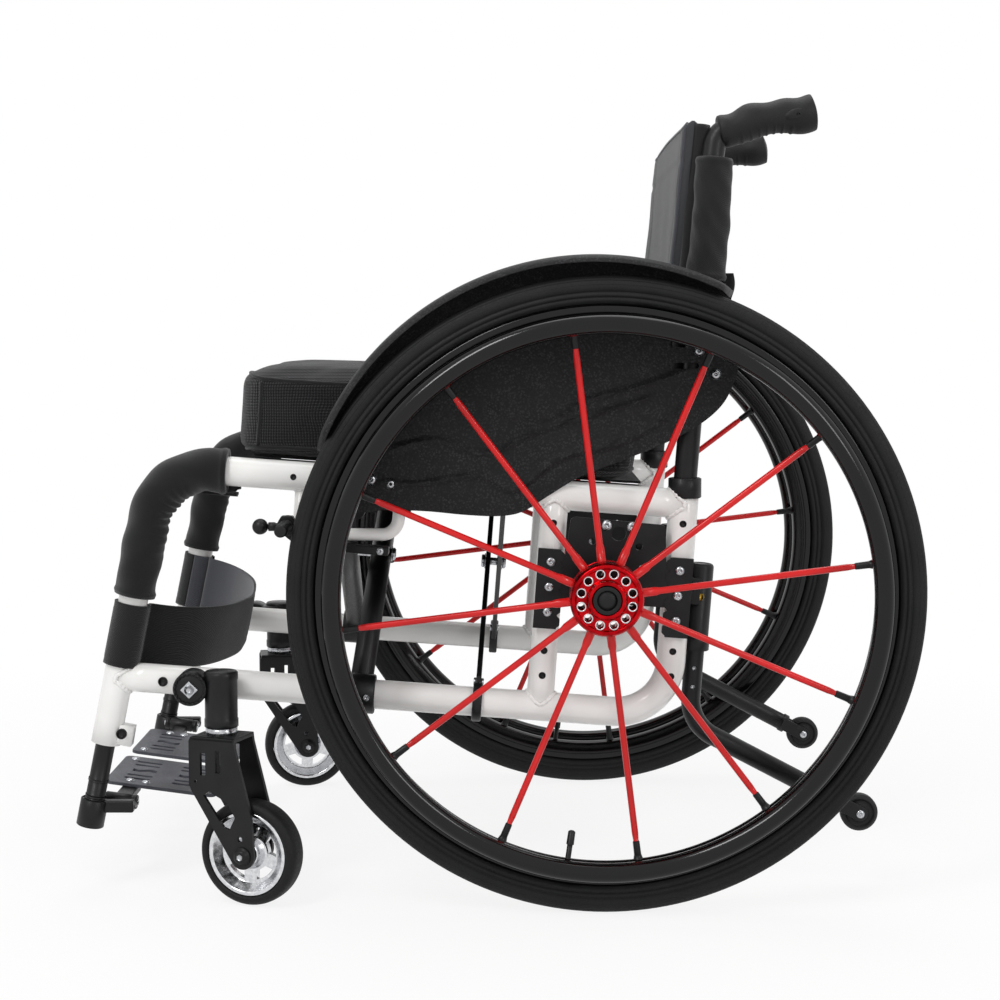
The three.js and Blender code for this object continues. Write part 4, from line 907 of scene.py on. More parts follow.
# The guard's sheet runs from its waving lower edge up to the arc under the tyre's fender.
def makeGuard(name, side):
    g = guardParts
    lower = evenly(smoothLine(guardEdge), 150)
    angle = np.radians(np.linspace(g["to"] + 3, g["from"], 150))
    upper = np.stack([g["centreY"] + (g["radius"] - 1) * np.cos(angle), g["centreZ"] + (g["radius"] - 1) * np.sin(angle)], 1)
    v = np.linspace(0, 1, 90)[None, :, None]
    sheet = lower[:, None] * (1 - v) + upper[:, None] * v
    y, z = sheet[..., 0], sheet[..., 1]
    pressed = ridge(y, z, [(-222, 398), (-176, 396), (-118, 404), (-84, 391), (-40, 421), (20, 437), (78, 470)], 3.0, 3.0)
    pressed += ridge(y, z, [(-205, 428), (-160, 437), (-110, 425), (-62, 446), (-8, 462), (52, 480)], 2.8, 2.8)
    pressed += ridge(y, z, [(-110, 470), (-60, 452), (-18, 474), (30, 487), (84, 505)], 2.8, 2.6)
    edgeRoll = 1.2 * np.exp(-((v[..., 0] * 160 / 6) ** 2))
    x = g["outer"] + pressed - edgeRoll * 0.8
    points = np.stack([x, y, z], -1) / 1000 + [0, wheel["y"], 0]
    guard = makePiece(name + "_guard_sheet", points, gridFaces(150, 90), "guard_black", name + "_frame", side)
    addModifier(guard, "SOLIDIFY", thickness=g["thickness"] / 1000, offset=-1 if outwardX(guard, side) else 1)
    cutters = []
    for slotZ in g["slotZ"]:
        y0, y1 = g["slotY"]
        ends = [overFloor(0, y, slotZ) for y in (y0, y1)]
        middle = (ends[0] + ends[1]) / 2 + [0.221, 0, 0]
        cutters.append(slotTool(middle, 0.011, 0.0028, 0.012))
    evaluateModifiers(guard)
    cutAway(guard, cutters, side)
    keepEdges(guard, 40)
    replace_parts(guard, name + "_side_guard")

    # fender: over the tyre, with a rolled outer lip and a rounded front corner
    section = smoothLine([(219.4, -3.4), (219.8, -0.9), (222.5, -0.2), (240, 0.8), (262, 0.6), (276, -0.4), (282, -2.6), (283.6, -6.2)], 6)
    t = np.linspace(0, 1, 120)
    a = np.radians(g["to"] + (g["from"] - g["to"]) * t)
    reach = np.clip(np.sqrt(np.clip(t / 0.05, 0.02, 1)), 0, 1) * np.clip(np.sqrt(np.clip((1 - t) / 0.03, 0.1, 1)), 0, 1)
    xs = g["inner"] + (section[:, 0] - g["inner"])[None, :] * reach[:, None]
    rs = g["radius"] + section[:, 1][None, :] + 0.2
    points = np.stack([xs, g["centreY"] + rs * np.cos(a)[:, None], g["centreZ"] + rs * np.sin(a)[:, None]], -1)
    fender = makePiece(name + "_fender", points / 1000 + [0, wheel["y"], 0], gridFaces(120, len(section)), "guard_black", name + "_frame", side)
    addModifier(fender, "SOLIDIFY", thickness=0.0022, offset=0)
    evaluateModifiers(fender)
    faceOutwards(fender)

    bolts = []
    for y, z in [(88, 521), (104, 499), (-201, 396), (-219, 400)]:
        centre = overFloor(g["outer"], y, z)
        bolts.append(domeHead(centre + [0.0006, 0, 0], 0.0042, 0.0024))
        bolts.append(rod(centre + [-0.0005, 0, 0], centre + [0.0009, 0, 0], 0.0056, 28))
    makePiece(name + "_guard_bolts", *gather(bolts), "steel", name + "_frame", side)


def outwardX(piece, side):
    normals = np.zeros(len(piece.data.polygons) * 3)
    piece.data.polygons.foreach_get("normal", normals)
    return normals.reshape(-1, 3)[:, 0].mean() * side > 0


# Makes a piece's modifiers part of its mesh.
def evaluateModifiers(piece):
    bpy.context.view_layer.update()
    made = bpy.data.meshes.new_from_object(piece.evaluated_get(bpy.context.evaluated_depsgraph_get()))
    piece.modifiers.clear()
    piece.data = made
    return piece


# A slot's cutter: a box with round ends, along Y, through X.
def slotTool(centre, halfLength, halfWidth, reach):
    a = np.linspace(-np.pi / 2, np.pi / 2, 12)
    right = np.stack([halfLength + halfWidth * np.cos(a), halfWidth * np.sin(a)], 1)
    outline = np.vstack([right, -right])
    count = len(outline)
    rows = [np.column_stack([np.full(count, x), outline]) + centre for x in (-reach, reach)]
    faces = gridFaces(2, count, closeColumns=True) + [list(range(count))] + [list(range(2 * count - 1, count - 1, -1))]
    return np.vstack(rows), faces


# A button head with a hexagonal socket: a dome of revolution about X.
def domeHead(centre, radius, height, out=1, count=32):
    a = np.linspace(0, np.pi / 2, 7)
    outline = [(0, radius * 0.98)] + [(height * math.sin(t), radius * (0.42 + 0.58 * math.cos(t))) for t in a]
    outline += [(height * 0.94, radius * 0.36), (height * 0.3, radius * 0.34)]
    outline = np.array(outline) * [out, 1]
    points, faces = turned(outline, centre, count, closed=False)
    total = len(points)
    last = (len(outline) - 1) * count
    ends = np.array([centre, np.array(centre) + [out * height * 0.3, 0, 0]])
    faces += [[total, (i + 1) % count, i] for i in range(count)]
    faces += [[total + 1, last + i, last + (i + 1) % count] for i in range(count)]
    return np.vstack([points, ends]), faces


# --- knee sleeve, seat sling and cushion
sleeveKnee = {"start": 146, "rearY": -364, "radius": 0.0208, "bore": 0.0146}


# Neoprene round the bend of the frame: it follows the tube, puckers on the inside of the bend,
# swells a little over its own folds, and ends in a rolled hem.
def makeKneeSleeve(name, side):
    p, s = frameParts, sleeveKnee
    low = legPoint(s["start"])
    line = evenly(framePath([low, (p["half"], p["kneeY"], p["upper"]), (p["half"], s["rearY"], p["upper"])], [p["kneeBend"]], bendSteps=30), 150)
    v = np.linspace(0, 1, 150)[:, None]
    angle = np.linspace(0, 2 * np.pi, 72, endpoint=False)[None, :]
    inside = np.clip(np.sin(angle), 0, 1)
    bend = np.exp(-(((v - 0.53) / 0.2) ** 2))
    puckers = 0.0011 * np.sin(v * 118 + 1.2 * np.sin(angle * 2)) * inside**1.5 * bend
    folds = 0.0006 * np.sin(17 * v + 2 * angle) + 0.0005 * np.sin(31 * v - 3 * angle + 1)
    taper = -0.0016 * np.cos(v * np.pi) * 0.5
    hems = 0.0011 * (np.exp(-(((v - 0.02) / 0.012) ** 2)) + np.exp(-(((v - 0.98) / 0.012) ** 2)))
    seam = -0.0007 * np.exp(-((np.sin((angle - np.pi * 1.5) / 2) / 0.03) ** 2))
    reach = s["radius"] - 0.0005 + puckers + folds + taper + hems + seam
    reach = reach * np.ones((150, 72))
    outer = sweep(line, reach, 72)[0][: 150 * 72].reshape(150, 72, 3)
    inner = sweep(line, s["bore"], 72)[0][: 150 * 72].reshape(150, 72, 3)
    rows = np.concatenate([outer, inner[::-1]])
    sleeve = makePiece(name + "_knee_wrap", rows, gridFaces(300, 72, closeRows=True, closeColumns=True), "neoprene", name + "_frame", side)
    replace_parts(faceOutwards(sleeve), name + "_knee_sleeve")
    # the loose flap where the wrap closes over the upper tube
    t = np.linspace(0, 1, 40)[:, None]
    w = np.linspace(0, 1, 24)[None, :]
    start = np.array(onFrame(p["half"], s["rearY"] - 22, p["upper"]))
    back = onFrame(0, 1, 0) - onFrame(0, 0, 0)
    back /= np.linalg.norm(back)
    up = np.cross([1.0, 0, 0], back)
    turn = np.radians(-80 - 75 * w)
    ragged = 0.003 * np.sin(w * 19) + 0.0015 * np.sin(w * 43)
    length = 0.03 + ragged
    radius = 0.0222 + 0.003 * t * w
    points = start + back * (t * length)[..., None] + (radius * np.cos(turn))[..., None] * np.array([1.0, 0, 0]) + (radius * np.sin(turn))[..., None] * up
    flap = makePiece(name + "_knee_flap", points, gridFaces(40, 24), "neoprene", name + "_frame", side)
    addModifier(flap, "SOLIDIFY", thickness=0.0022, offset=0)
    evaluateModifiers(flap)
    faceOutwards(flap)


cushionParts = {"bulge": 8, "half": 198, "front": -355, "rear": 32, "bottom": 102.7, "frontHeight": 80, "rearHeight": 96, "voxel": 0.0055, "cap": 0.007}
slingParts = {"half": 176, "front": -345, "rear": 30, "bottom": 99.35, "thickness": 3, "hem": 12}


# The seat sling: one sheet between the rails, dipping a little between them, with a doubled hem fore and aft.
def makeSeatSling():
    s = slingParts
    x = np.linspace(-1, 1, 60)
    y = np.linspace(s["front"], s["rear"], 80)
    yy, xx = np.meshgrid(y, x, indexing="ij")
    hem = np.clip((s["hem"] - np.minimum(yy - s["front"], s["rear"] - yy)) / 2, 0, 1)
    zz = s["bottom"] + s["thickness"] / 2 + 0.35 * hem - 0.8 * (1 - xx**2) ** 2 * 0.4
    c, sn = math.cos(frameLean), math.sin(frameLean)
    points = np.stack([xx * s["half"], yy * c + zz * sn, zz * c - yy * sn], -1) / 1000 + [0, wheel["y"], wheel["z"]]
    sling = makePiece("seat_sling_sheet", points, gridFaces(80, 60), "nylon", "seat")
    addModifier(sling, "SOLIDIFY", thickness=0.0022, offset=0)
    evaluateModifiers(sling)
    faceOutwards(sling)
    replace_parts(sling, "seat_sling")
    foldSoft(sling)


# Cushion: a rounded box on the leaning frame, its corners drawn in; cloth under pressure swells it.
def cushionForm(inset):
    c = cushionParts
    count = 40
    u = np.linspace(-1, 1, count)
    faces = []
    shells = []
    for axis in range(3):
        for sign in (-1, 1):
            a, b = np.meshgrid(u, u, indexing="ij")
            cube = [None, None, None]
            cube[axis] = np.full_like(a, sign)
            cube[(axis + 1) % 3] = a
            cube[(axis + 2) % 3] = b
            shells.append((np.stack(cube, -1).reshape(-1, 3), gridFaces(count, count)))
    points, faces = gather(shells)
    x, y, z = points.T
    power = 13  # the corners of a superquadric: |x|^13 + |y|^13 + |z|^13 = 1
    scale = (np.abs(x) ** power + np.abs(y) ** power + np.abs(z) ** power) ** (-1 / power)
    x, y, z = x * scale, y * scale, z * scale
    sideX = (c["half"] - inset) * x * (1 - 0.012 * (1 - z**2))
    middleY, halfY = (c["front"] + c["rear"]) / 2, (c["rear"] - c["front"]) / 2 - inset
    alongY = middleY + halfY * y * (1 - 0.01 * (1 - z**2))
    share = (y + 1) / 2
    height = c["frontHeight"] + (c["rearHeight"] - c["frontHeight"]) * share - inset
    crown = 1 + 0.03 * (1 - np.abs(x) ** 2) * (z > 0)
    upZ = c["bottom"] + inset * 0.3 + (z + 1) / 2 * height * crown
    points = np.stack([sideX, alongY, upZ], 1)
    cs, sn = math.cos(frameLean), math.sin(frameLean)
    places = np.stack([points[:, 0], points[:, 1] * cs + points[:, 2] * sn, points[:, 2] * cs - points[:, 1] * sn], 1)
    return places / 1000 + [0, wheel["y"], wheel["z"]], faces


# Remeshes a closed form, blows it up as cloth, and keeps each point within the cap of where it began.
def blowUp(piece, voxel, cap, frames=20, pressure=4.0):
    addModifier(piece, "REMESH", mode="VOXEL", voxel_size=voxel)
    evaluateModifiers(piece)
    before = np.zeros(len(piece.data.vertices) * 3)
    piece.data.vertices.foreach_get("co", before)
    cloth = piece.modifiers.new("Cloth", "CLOTH")
    cloth.settings.use_pressure = True
    cloth.settings.uniform_pressure_force = pressure
    cloth.settings.effector_weights.gravity = 0
    cloth.settings.quality = 6
    scene = bpy.context.scene
    for number in range(1, frames + 1):
        scene.frame_set(number)
    made = bpy.data.meshes.new_from_object(piece.evaluated_get(bpy.context.evaluated_depsgraph_get()))
    piece.modifiers.clear()
    piece.data = made
    scene.frame_set(1)
    after = np.zeros(len(before))
    piece.data.vertices.foreach_get("co", after)
    step = (after - before).reshape(-1, 3)
    length = np.linalg.norm(step, axis=1, keepdims=True)
    step *= np.minimum(1, cap / np.maximum(length, 1e-9))
    piece.data.vertices.foreach_set("co", (before.reshape(-1, 3) + step).ravel())
    piece.data.update()


def makeCushion():
    c = cushionParts
    points, faces = cushionForm(4.0)
    cushion = makePiece("cushion_cover", points, faces, "air_mesh", "seat")
    faceOutwards(cushion)
    blowUp(cushion, c["voxel"], c["cap"])
    clampCushion(cushion)
    cushion.data.polygons.foreach_set("use_smooth", [True] * len(cushion.data.polygons))
    addModifier(cushion, "SUBSURF", levels=1, render_levels=1)
    evaluateModifiers(cushion)
    cushion.data.materials.clear()
    cushion.data.materials.append(materials["air_mesh"])
    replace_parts(cushion, "cushion")
    foldSoft(cushion)
    # piped seams round the top and the bottom edge of the border
    for label, height, inset in (("top", 0.93, 1.6), ("bottom", 0.06, 1.6)):
        a = np.linspace(0, 2 * np.pi, 240, endpoint=False)
        power = 13
        x, y = np.cos(a), np.sin(a)
        scale = (np.abs(x) ** power + np.abs(y) ** power) ** (-1 / power)
        x, y = x * scale, y * scale
        middleY, halfY = (c["front"] + c["rear"]) / 2, (c["rear"] - c["front"]) / 2 - inset
        share = (y + 1) / 2
        tall = c["frontHeight"] + (c["rearHeight"] - c["frontHeight"]) * share
        z = c["bottom"] + height * tall
        px, py = (c["half"] - inset) * x, middleY + halfY * y
        cs, sn = math.cos(frameLean), math.sin(frameLean)
        line = np.stack([px, py * cs + z * sn, z * cs - py * sn], 1) / 1000 + [0, wheel["y"], wheel["z"]]
        line = snapTo(cushion, line, 0.0004)
        seam = makePiece("cushion_piping_" + label, *ringSweep(line, 0.0019, 10), "nylon", "seat")
        faceOutwards(seam)
        foldSoft(seam)
    cs, sn = math.cos(frameLean), math.sin(frameLean)
    shells = []
    for sign in (-1, 1):
        z = c["bottom"] + np.linspace(0.07, 0.92, 40) * c["frontHeight"]
        y = c["front"] + 13 + 0 * z
        line = np.stack([sign * (c["half"] + 3) + 0 * z, y * cs + z * sn, z * cs - y * sn], 1) / 1000
        line = snapTo(cushion, line + [0, wheel["y"], wheel["z"]], 0.0004)
        shells.append(sweep(line, 0.0018, 10))
    corners = makePiece("cushion_corner_seams", *gather(shells), "nylon", "seat")
    faceOutwards(corners)
    foldSoft(corners)


# Keeps the cushion flat where it rests, and brings it out to the sides of its own space.
def clampCushion(piece):
    c = cushionParts
    places = np.zeros(len(piece.data.vertices) * 3)
    piece.data.vertices.foreach_get("co", places)
    places = places.reshape(-1, 3) - [0, wheel["y"], wheel["z"]]
    cs, sn = math.cos(frameLean), math.sin(frameLean)
    y = places[:, 1] * cs - places[:, 2] * sn
    z = places[:, 1] * sn + places[:, 2] * cs
    z = np.maximum(z, c["bottom"] / 1000 + 0.0004)
    x = places[:, 0] * (c["half"] - 0.5) / 1000 / np.abs(places[:, 0]).max()
    y = (y - y.min()) / (y.max() - y.min()) * (c["rear"] - c["front"] + c["bulge"]) / 1000 + (c["front"] - c["bulge"]) / 1000
    places = np.stack([x, y * cs + z * sn, z * cs - y * sn], 1) + [0, wheel["y"], wheel["z"]]
    piece.data.vertices.foreach_set("co", places.ravel())
    piece.data.update()


# --- calf strap
strapParts = {"bottom": 221, "height": 61, "thickness": 2.4, "sag": 86, "loop": 14.7}


# A band that runs round each leg and hangs back between them in a half ellipse, dipping and twisting a little.
def makeCalfStrap():
    s = strapParts
    lean = frameLean + legLean
    t = np.linspace(0, np.pi, 200)
    reach = 205 - s["loop"] - 1
    band = np.stack([-reach * np.cos(t), (s["sag"]) * np.sin(t) ** 0.9 + 2 + s["thickness"] / 2], 1)
    loops = []
    for sign in (-1, 1):
        a = np.linspace(np.pi * 0.5, np.pi * 2.42, 60) if sign < 0 else np.linspace(np.pi * 0.58, -np.pi * 1.5, 60)
        r = s["loop"] + s["thickness"] / 2 + 0.4
        loops.append(np.stack([sign * 205 + r * np.cos(a), r * np.sin(a)], 1))
    line = np.vstack([loops[0][:-1], band[6:-6], loops[1][1:]])
    line = evenly(line, 360)
    for _ in range(6):
        line[1:-1] = (line[:-2] + 2 * line[1:-1] + line[2:]) / 4
    v = np.linspace(0, 1, 26)[None, :]
    along = np.linspace(-1, 1, 360)[:, None]
    middle = np.clip(1 - np.abs(line[:, :1]) / 180, 0, 1)
    d = np.gradient(line, axis=0)
    d /= np.linalg.norm(d, axis=1, keepdims=True)
    outward = np.stack([-d[:, 1], d[:, 0]], 1)
    hem = 0.5 * (np.exp(-(((v - 0.06) / 0.02) ** 2)) + np.exp(-(((v - 0.94) / 0.02) ** 2)))
    ripple = 0.7 * np.sin(along * 19 + v * 2) * middle + 1.1 * np.sin(v * np.pi) * middle
    x = line[:, :1] + outward[:, :1] * (ripple - hem)
    y = line[:, 1:] + outward[:, 1:] * (ripple - hem)
    z = v * (s["height"] - 1.5 * middle) - 2.0 * middle * (v - 0.5) + 0 * along
    footY, footZ = onFrame(*legPoint(0))[1:] * 1000
    base = footY + (s["bottom"] - footZ) * math.tan(lean)
    points = np.stack([x + 0 * v, base + y * math.cos(lean) + z * math.sin(lean), s["bottom"] + z * math.cos(lean) - y * math.sin(lean)], -1)
    width = np.linalg.norm(np.diff(line, axis=0), axis=1).sum()
    points = points / 1000
    ahead = np.abs(line[:, 0]) < 205 - s["loop"] - 0.5
    first, last = np.flatnonzero(ahead)[0], np.flatnonzero(ahead)[-1]
    cuts = {"left": slice(last, 360), "right": slice(0, first + 1), "band": slice(first, last + 1)}
    made = {}
    for label, rows in cuts.items():
        part = points[rows]
        body = "slings" if label == "band" else label + "_frame"
        piece = makePiece("calf_strap_" + label, part, gridFaces(len(part), 26), "webbing", body)
        addModifier(piece, "SOLIDIFY", thickness=s["thickness"] / 1000, offset=0)
        evaluateModifiers(piece)
        made[label] = faceOutwards(piece)
    strap = made["band"]
    strap.data.materials.append(materials["webbing_inner"])  # the side towards the legs is paler
    centreY = (base + 20) / 1000
    inner = [1 if f.normal.x * -f.center.x + f.normal.y * (centreY - f.center.y) > 0.01 else 0 for f in strap.data.polygons]
    strap.data.polygons.foreach_set("material_index", inner)
    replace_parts(strap, "calf_strap")
    foldSoft(strap)  # its ends stay between the loops, which keep their size
    print("strap length", round(width))


print("soft goods")
for name, side in sides.items():
    makeGuard(name, side)
    makeKneeSleeve(name, side)
makeSeatSling()
makeCushion()
makeCalfStrap()


# --- hardware
# A flat plate: an outline of (a, b) corners in millimetres between two offsets, put in place by a function.
def plateShell(outline, low, high, place):
    outline = np.asarray(outline, float)
    area = np.sum(outline[:, 0] * np.roll(outline[:, 1], -1) - outline[:, 1] * np.roll(outline[:, 0], -1))
    outline = outline if area > 0 else outline[::-1]
    count = len(outline)
    points = [place(offset, a, b) for offset in (low, high) for a, b in outline]
    faces = [[i, (i + 1) % count, count + (i + 1) % count, count + i] for i in range(count)]
    return np.array(points), faces + [list(range(count - 1, -1, -1)), list(range(count, 2 * count))]


def boxShell(low, high, place):
    return plateShell([(low[1], low[2]), (high[1], low[2]), (high[1], high[2]), (low[1], high[2])], low[0], high[0], place)


def ring2D(centre, radius, start, end, count=16):
    a = np.radians(np.linspace(start, end, count))
    return [(centre[0] + radius * math.cos(t), centre[1] + radius * math.sin(t)) for t in a]


# Breaks every sharp edge with a small round, as tumbled or cast parts have.
def breakEdges(piece, width=0.0006, segments=2, degrees=32):
    faceOutwards(piece)
    addModifier(piece, "BEVEL", width=width, segments=segments, limit_method="ANGLE", angle_limit=math.radians(degrees))
    piece.modifiers[-1].harden_normals = True
    evaluateModifiers(piece)
    return piece


casterParts = {"x": 237, "y": -361, "trail": 31, "radius": 50, "rim": 40, "width": 26, "swivel": {"left": 20, "right": 9},
               "forkTop": 160, "plate": 4, "inside": 34, "housing": 16, "bottom": 167, "top": 220.4, "lugY": -389}


def makeCaster(name, side):
    c = casterParts
    turn = -math.radians(c["swivel"][name])
    cs, sn = math.cos(turn), math.sin(turn)

    def place(x, y, z):
        return np.array([c["x"] + x * cs - y * sn, c["y"] + x * sn + y * cs + wheel["y"] * 1000, z]) / 1000

    def placeAll(shell):
        points, faces = shell
        return np.array([place(*p) for p in np.asarray(points) * 1000]), faces

    centre = [0, c["trail"] / 1000, c["radius"] / 1000]
    w, r = c["width"] / 2000, c["radius"] / 1000
    t = np.linspace(-1, 1, 33)
    crown = np.stack([w * np.sin(t * np.pi / 2 * 0.97), r - 0.0072 * (1 - np.cos(t * np.pi / 2)) ** 1.5], 1)
    seat = c["rim"] / 1000 + 0.0004
    tyreLine = np.vstack([crown, [(w, seat + 0.002), (w - 0.0015, seat), (-w + 0.0015, seat), (-w, seat + 0.002)]])
    tyre = makePiece(name + "_caster_tread", *placeAll(turned(tyreLine, centre, 96)), "tyre_rubber", name + "_caster_wheel", side)
    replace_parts(faceOutwards(tyre), name + "_caster_tyre")
    h = w - 0.001
    s = c["rim"] / 1000
    rimLine = [(-h, s), (-h, s - 0.0035), (-h + 0.002, s - 0.005), (-0.003, s - 0.011), (-0.003, 0.016), (-0.008, 0.0125)]
    rimLine += [(-h, 0.0115), (-h, 0.0062), (h, 0.0062), (h, 0.0115), (0.008, 0.0125), (0.003, 0.016), (0.003, s - 0.011)]
    rimLine += [(h - 0.002, s - 0.005), (h, s - 0.0035), (h, s)]
    rim = makePiece(name + "_caster_disc", *turned(softened(rimLine, 0.0012, 4), centre, 96), "polished_aluminium", None, 1)
    faceOutwards(rim)
    cutters = []
    for i in range(5):
        a = 2 * math.pi * i / 5 + 0.3
        mid = ring2D((c["trail"], c["radius"]), 26.5, math.degrees(a) - 22, math.degrees(a) + 22, 12)
        low = ring2D((c["trail"], c["radius"]), 18.5, math.degrees(a) + 15, math.degrees(a) - 15, 8)
        cutters.append(plateShell(mid + low, -20, 20, lambda x, y, z: np.array([x, y, z]) / 1000))
    cutAway(rim, cutters)
    bpy.context.view_layer.update()
    verts = np.zeros(len(rim.data.vertices) * 3)
    rim.data.vertices.foreach_get("co", verts)
    moved = np.array([place(*p) for p in verts.reshape(-1, 3) * 1000]) * [side, 1, 1]
    rim.data.vertices.foreach_set("co", moved.ravel())
    faceOutwards(rim)
    keepEdges(rim, 40)
    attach(rim, name + "_caster_wheel")
    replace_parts(rim, name + "_caster_rim")

    outer = c["inside"] / 2 + c["plate"]
    outline = [(-22, c["forkTop"]), (-24, 156), (-24, 114), (-21, 108)]
    outline += ring2D((c["trail"], c["radius"]), 12.5, 205, 372, 22) + [(c["trail"] + 9.5, 90), (24, 152), (23, c["forkTop"])]
    fork = []
    for x in (-outer, outer - c["plate"]):
        fork.append(plateShell(outline, x, x + c["plate"], place))
    crownPlate = boxShell((-outer, -23, c["forkTop"] - 4), (outer, 23.5, c["forkTop"]), place)
    forkPiece = makePiece(name + "_fork_legs", *gather(fork), "satin_black", name + "_caster_swivel", side, smooth=False)
    faceOutwards(forkPiece)
    window = [(-9, 105), (-3, 109), (16, 100), (24, 86), (18, 74), (12, 76)]
    tools = [plateShell(window, -40, 40, place)]
    for y, z in ((-12, 124), (4, 127)):
        tools.append(plateShell([(y, z), (y + 5.5, z), (y + 5.5, z + 21), (y, z + 21)], -40, 40, place))
    for y, z, hole in ((c["trail"] - 2, 66, 2.6), (-17, 118, 1.6)):
        tools.append(plateShell(ring2D((y, z), hole, 0, 345, 24), -40, 40, place))
    cutAway(forkPiece, tools, side)
    breakEdges(forkPiece, 0.0005, 2)
    crownPiece = makePiece(name + "_fork_crown", *crownPlate, "satin_black", name + "_caster_swivel", side, smooth=False)
    breakEdges(crownPiece, 0.0012, 3)
    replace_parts(forkPiece, name + "_caster_fork")

    stem = [sweep(np.array([place(0, 0, 160.4), place(0, 0, 160.8), place(0, 0, 166.2), place(0, 0, 166.6)]),
                  np.array([0.0142, 0.015, 0.015, 0.0142]), 48),
            sweep(np.array([place(0, 0, 157), place(0, 0, 210)]), 0.006, 24)]
    ring = makePiece(name + "_stem_ring", *gather(stem), "steel", name + "_caster_swivel", side)
    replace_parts(ring, name + "_caster_stem")
    heads = []
    for s2 in (-1, 1):
        start = place(s2 * (outer + 0.2), c["trail"], c["radius"])
        out = place(s2 * (outer + 1), c["trail"], c["radius"]) - start
        out /= np.linalg.norm(out)
        heads.append(sweep(np.array([start, start + out * 0.0012, start + out * 0.0013, start + out * 0.0036, start + out * 0.0044]),
                           np.array([0.0088, 0.0088, 0.0064, 0.0064, 0.005]), 32, sideways=(0, 0, 1)))
    heads.append(sweep(np.array([place(-outer - 1, c["trail"], c["radius"]), place(outer + 1, c["trail"], c["radius"])]), 0.004, 20, sideways=(0, 0, 1)))
    axle = makePiece(name + "_caster_spindle", *gather(heads), "satin_black", name + "_caster_swivel", side)
    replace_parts(faceOutwards(axle), name + "_caster_axle")
    sockets = []
    for s2 in (-1, 1):
        start = place(s2 * (outer + 4.2), c["trail"], c["radius"])
        out = (place(s2 * (outer + 5), c["trail"], c["radius"]) - start) / np.linalg.norm(place(s2 * (outer + 5), c["trail"], c["radius"]) - start)
        sockets.append(sweep(np.array([start, start + out * 0.0006]), 0.0032, 6, sideways=(0, 0, 1)))
    makePiece(name + "_spindle_sockets", *gather(sockets), "steel", name + "_caster_swivel", side)

    # housing: a turned barrel with rounded ends, a lug and a web to the frame
    def barrel(z, radius):
        return sweep(np.array([overFloor(c["x"], c["y"], h0) for h0 in z]), np.array(radius) / 1000, 56)

    lugZ = onFrame(0, 0, 0)[2] * 1000 + (-118 - c["lugY"] * math.sin(frameLean)) / math.cos(frameLean)
    lugZ = lugZ - 0.0
    parts = [barrel((167, 168, 175, 176, 212, 213, 219, 220.4), (14.8, 16, 16, 15.4, 15.4, 16, 16, 14.6))]
    lug = rod(overFloor(219.6, c["lugY"], lugZ), overFloor(248, c["lugY"], lugZ), 0.016, 48, sideways=(0, 0, 1))
    web = boxShell((219.6, c["lugY"], lugZ - 9), (242, c["y"], 217), lambda x, y, z: overFloor(x, y, z))
    housing = makePiece(name + "_housing_barrel", *gather(parts + [lug]), "satin_black", name + "_frame", side)
    faceOutwards(housing)
    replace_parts(housing, name + "_caster_housing")
    webPiece = makePiece(name + "_housing_web", *web, "satin_black", name + "_frame", side, smooth=False)
    breakEdges(webPiece, 0.0015, 3)
    square = [(-8.5, 0), (0, -8.5), (8.5, 0), (0, 8.5)]
    diamond = plateShell([(c["lugY"] + a, lugZ + b) for a, b in square], 248.3, 252, lambda x, y, z: overFloor(x, y, z))
    bolt = makePiece(name + "_camber_bolt", *diamond, "steel", name + "_frame", side, smooth=False)
    breakEdges(bolt, 0.0009, 3)
    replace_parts(bolt, name + "_caster_bolt")
    face = rod(overFloor(251.8, c["lugY"], lugZ), overFloor(252.9, c["lugY"], lugZ), 0.0045, 32, sideways=(0, 0, 1))
    makePiece(name + "_camber_bolt_face", *face, "steel", name + "_frame", side)
    # knurled teeth round the lug's face
    a = np.linspace(0, 2 * np.pi, 240, endpoint=False)
    reach = 0.0138 + 0.0011 * (np.cos(a * 20) > 0)
    lugLine = np.stack([0 * a + 0.2482, reach * np.cos(a), reach * np.sin(a)], 1)
    lugLine += overFloor(0, c["lugY"], lugZ)
    teeth = makePiece(name + "_lug_teeth", *ringSweep(lugLine, 0.0009, 6), "satin_black", name + "_frame", side)
    faceOutwards(teeth)


plateParts = {"inner": 12, "outer": 130, "front": -26, "depth": 112, "thickness": 3.5, "x": 184, "y": -470, "z": 84}


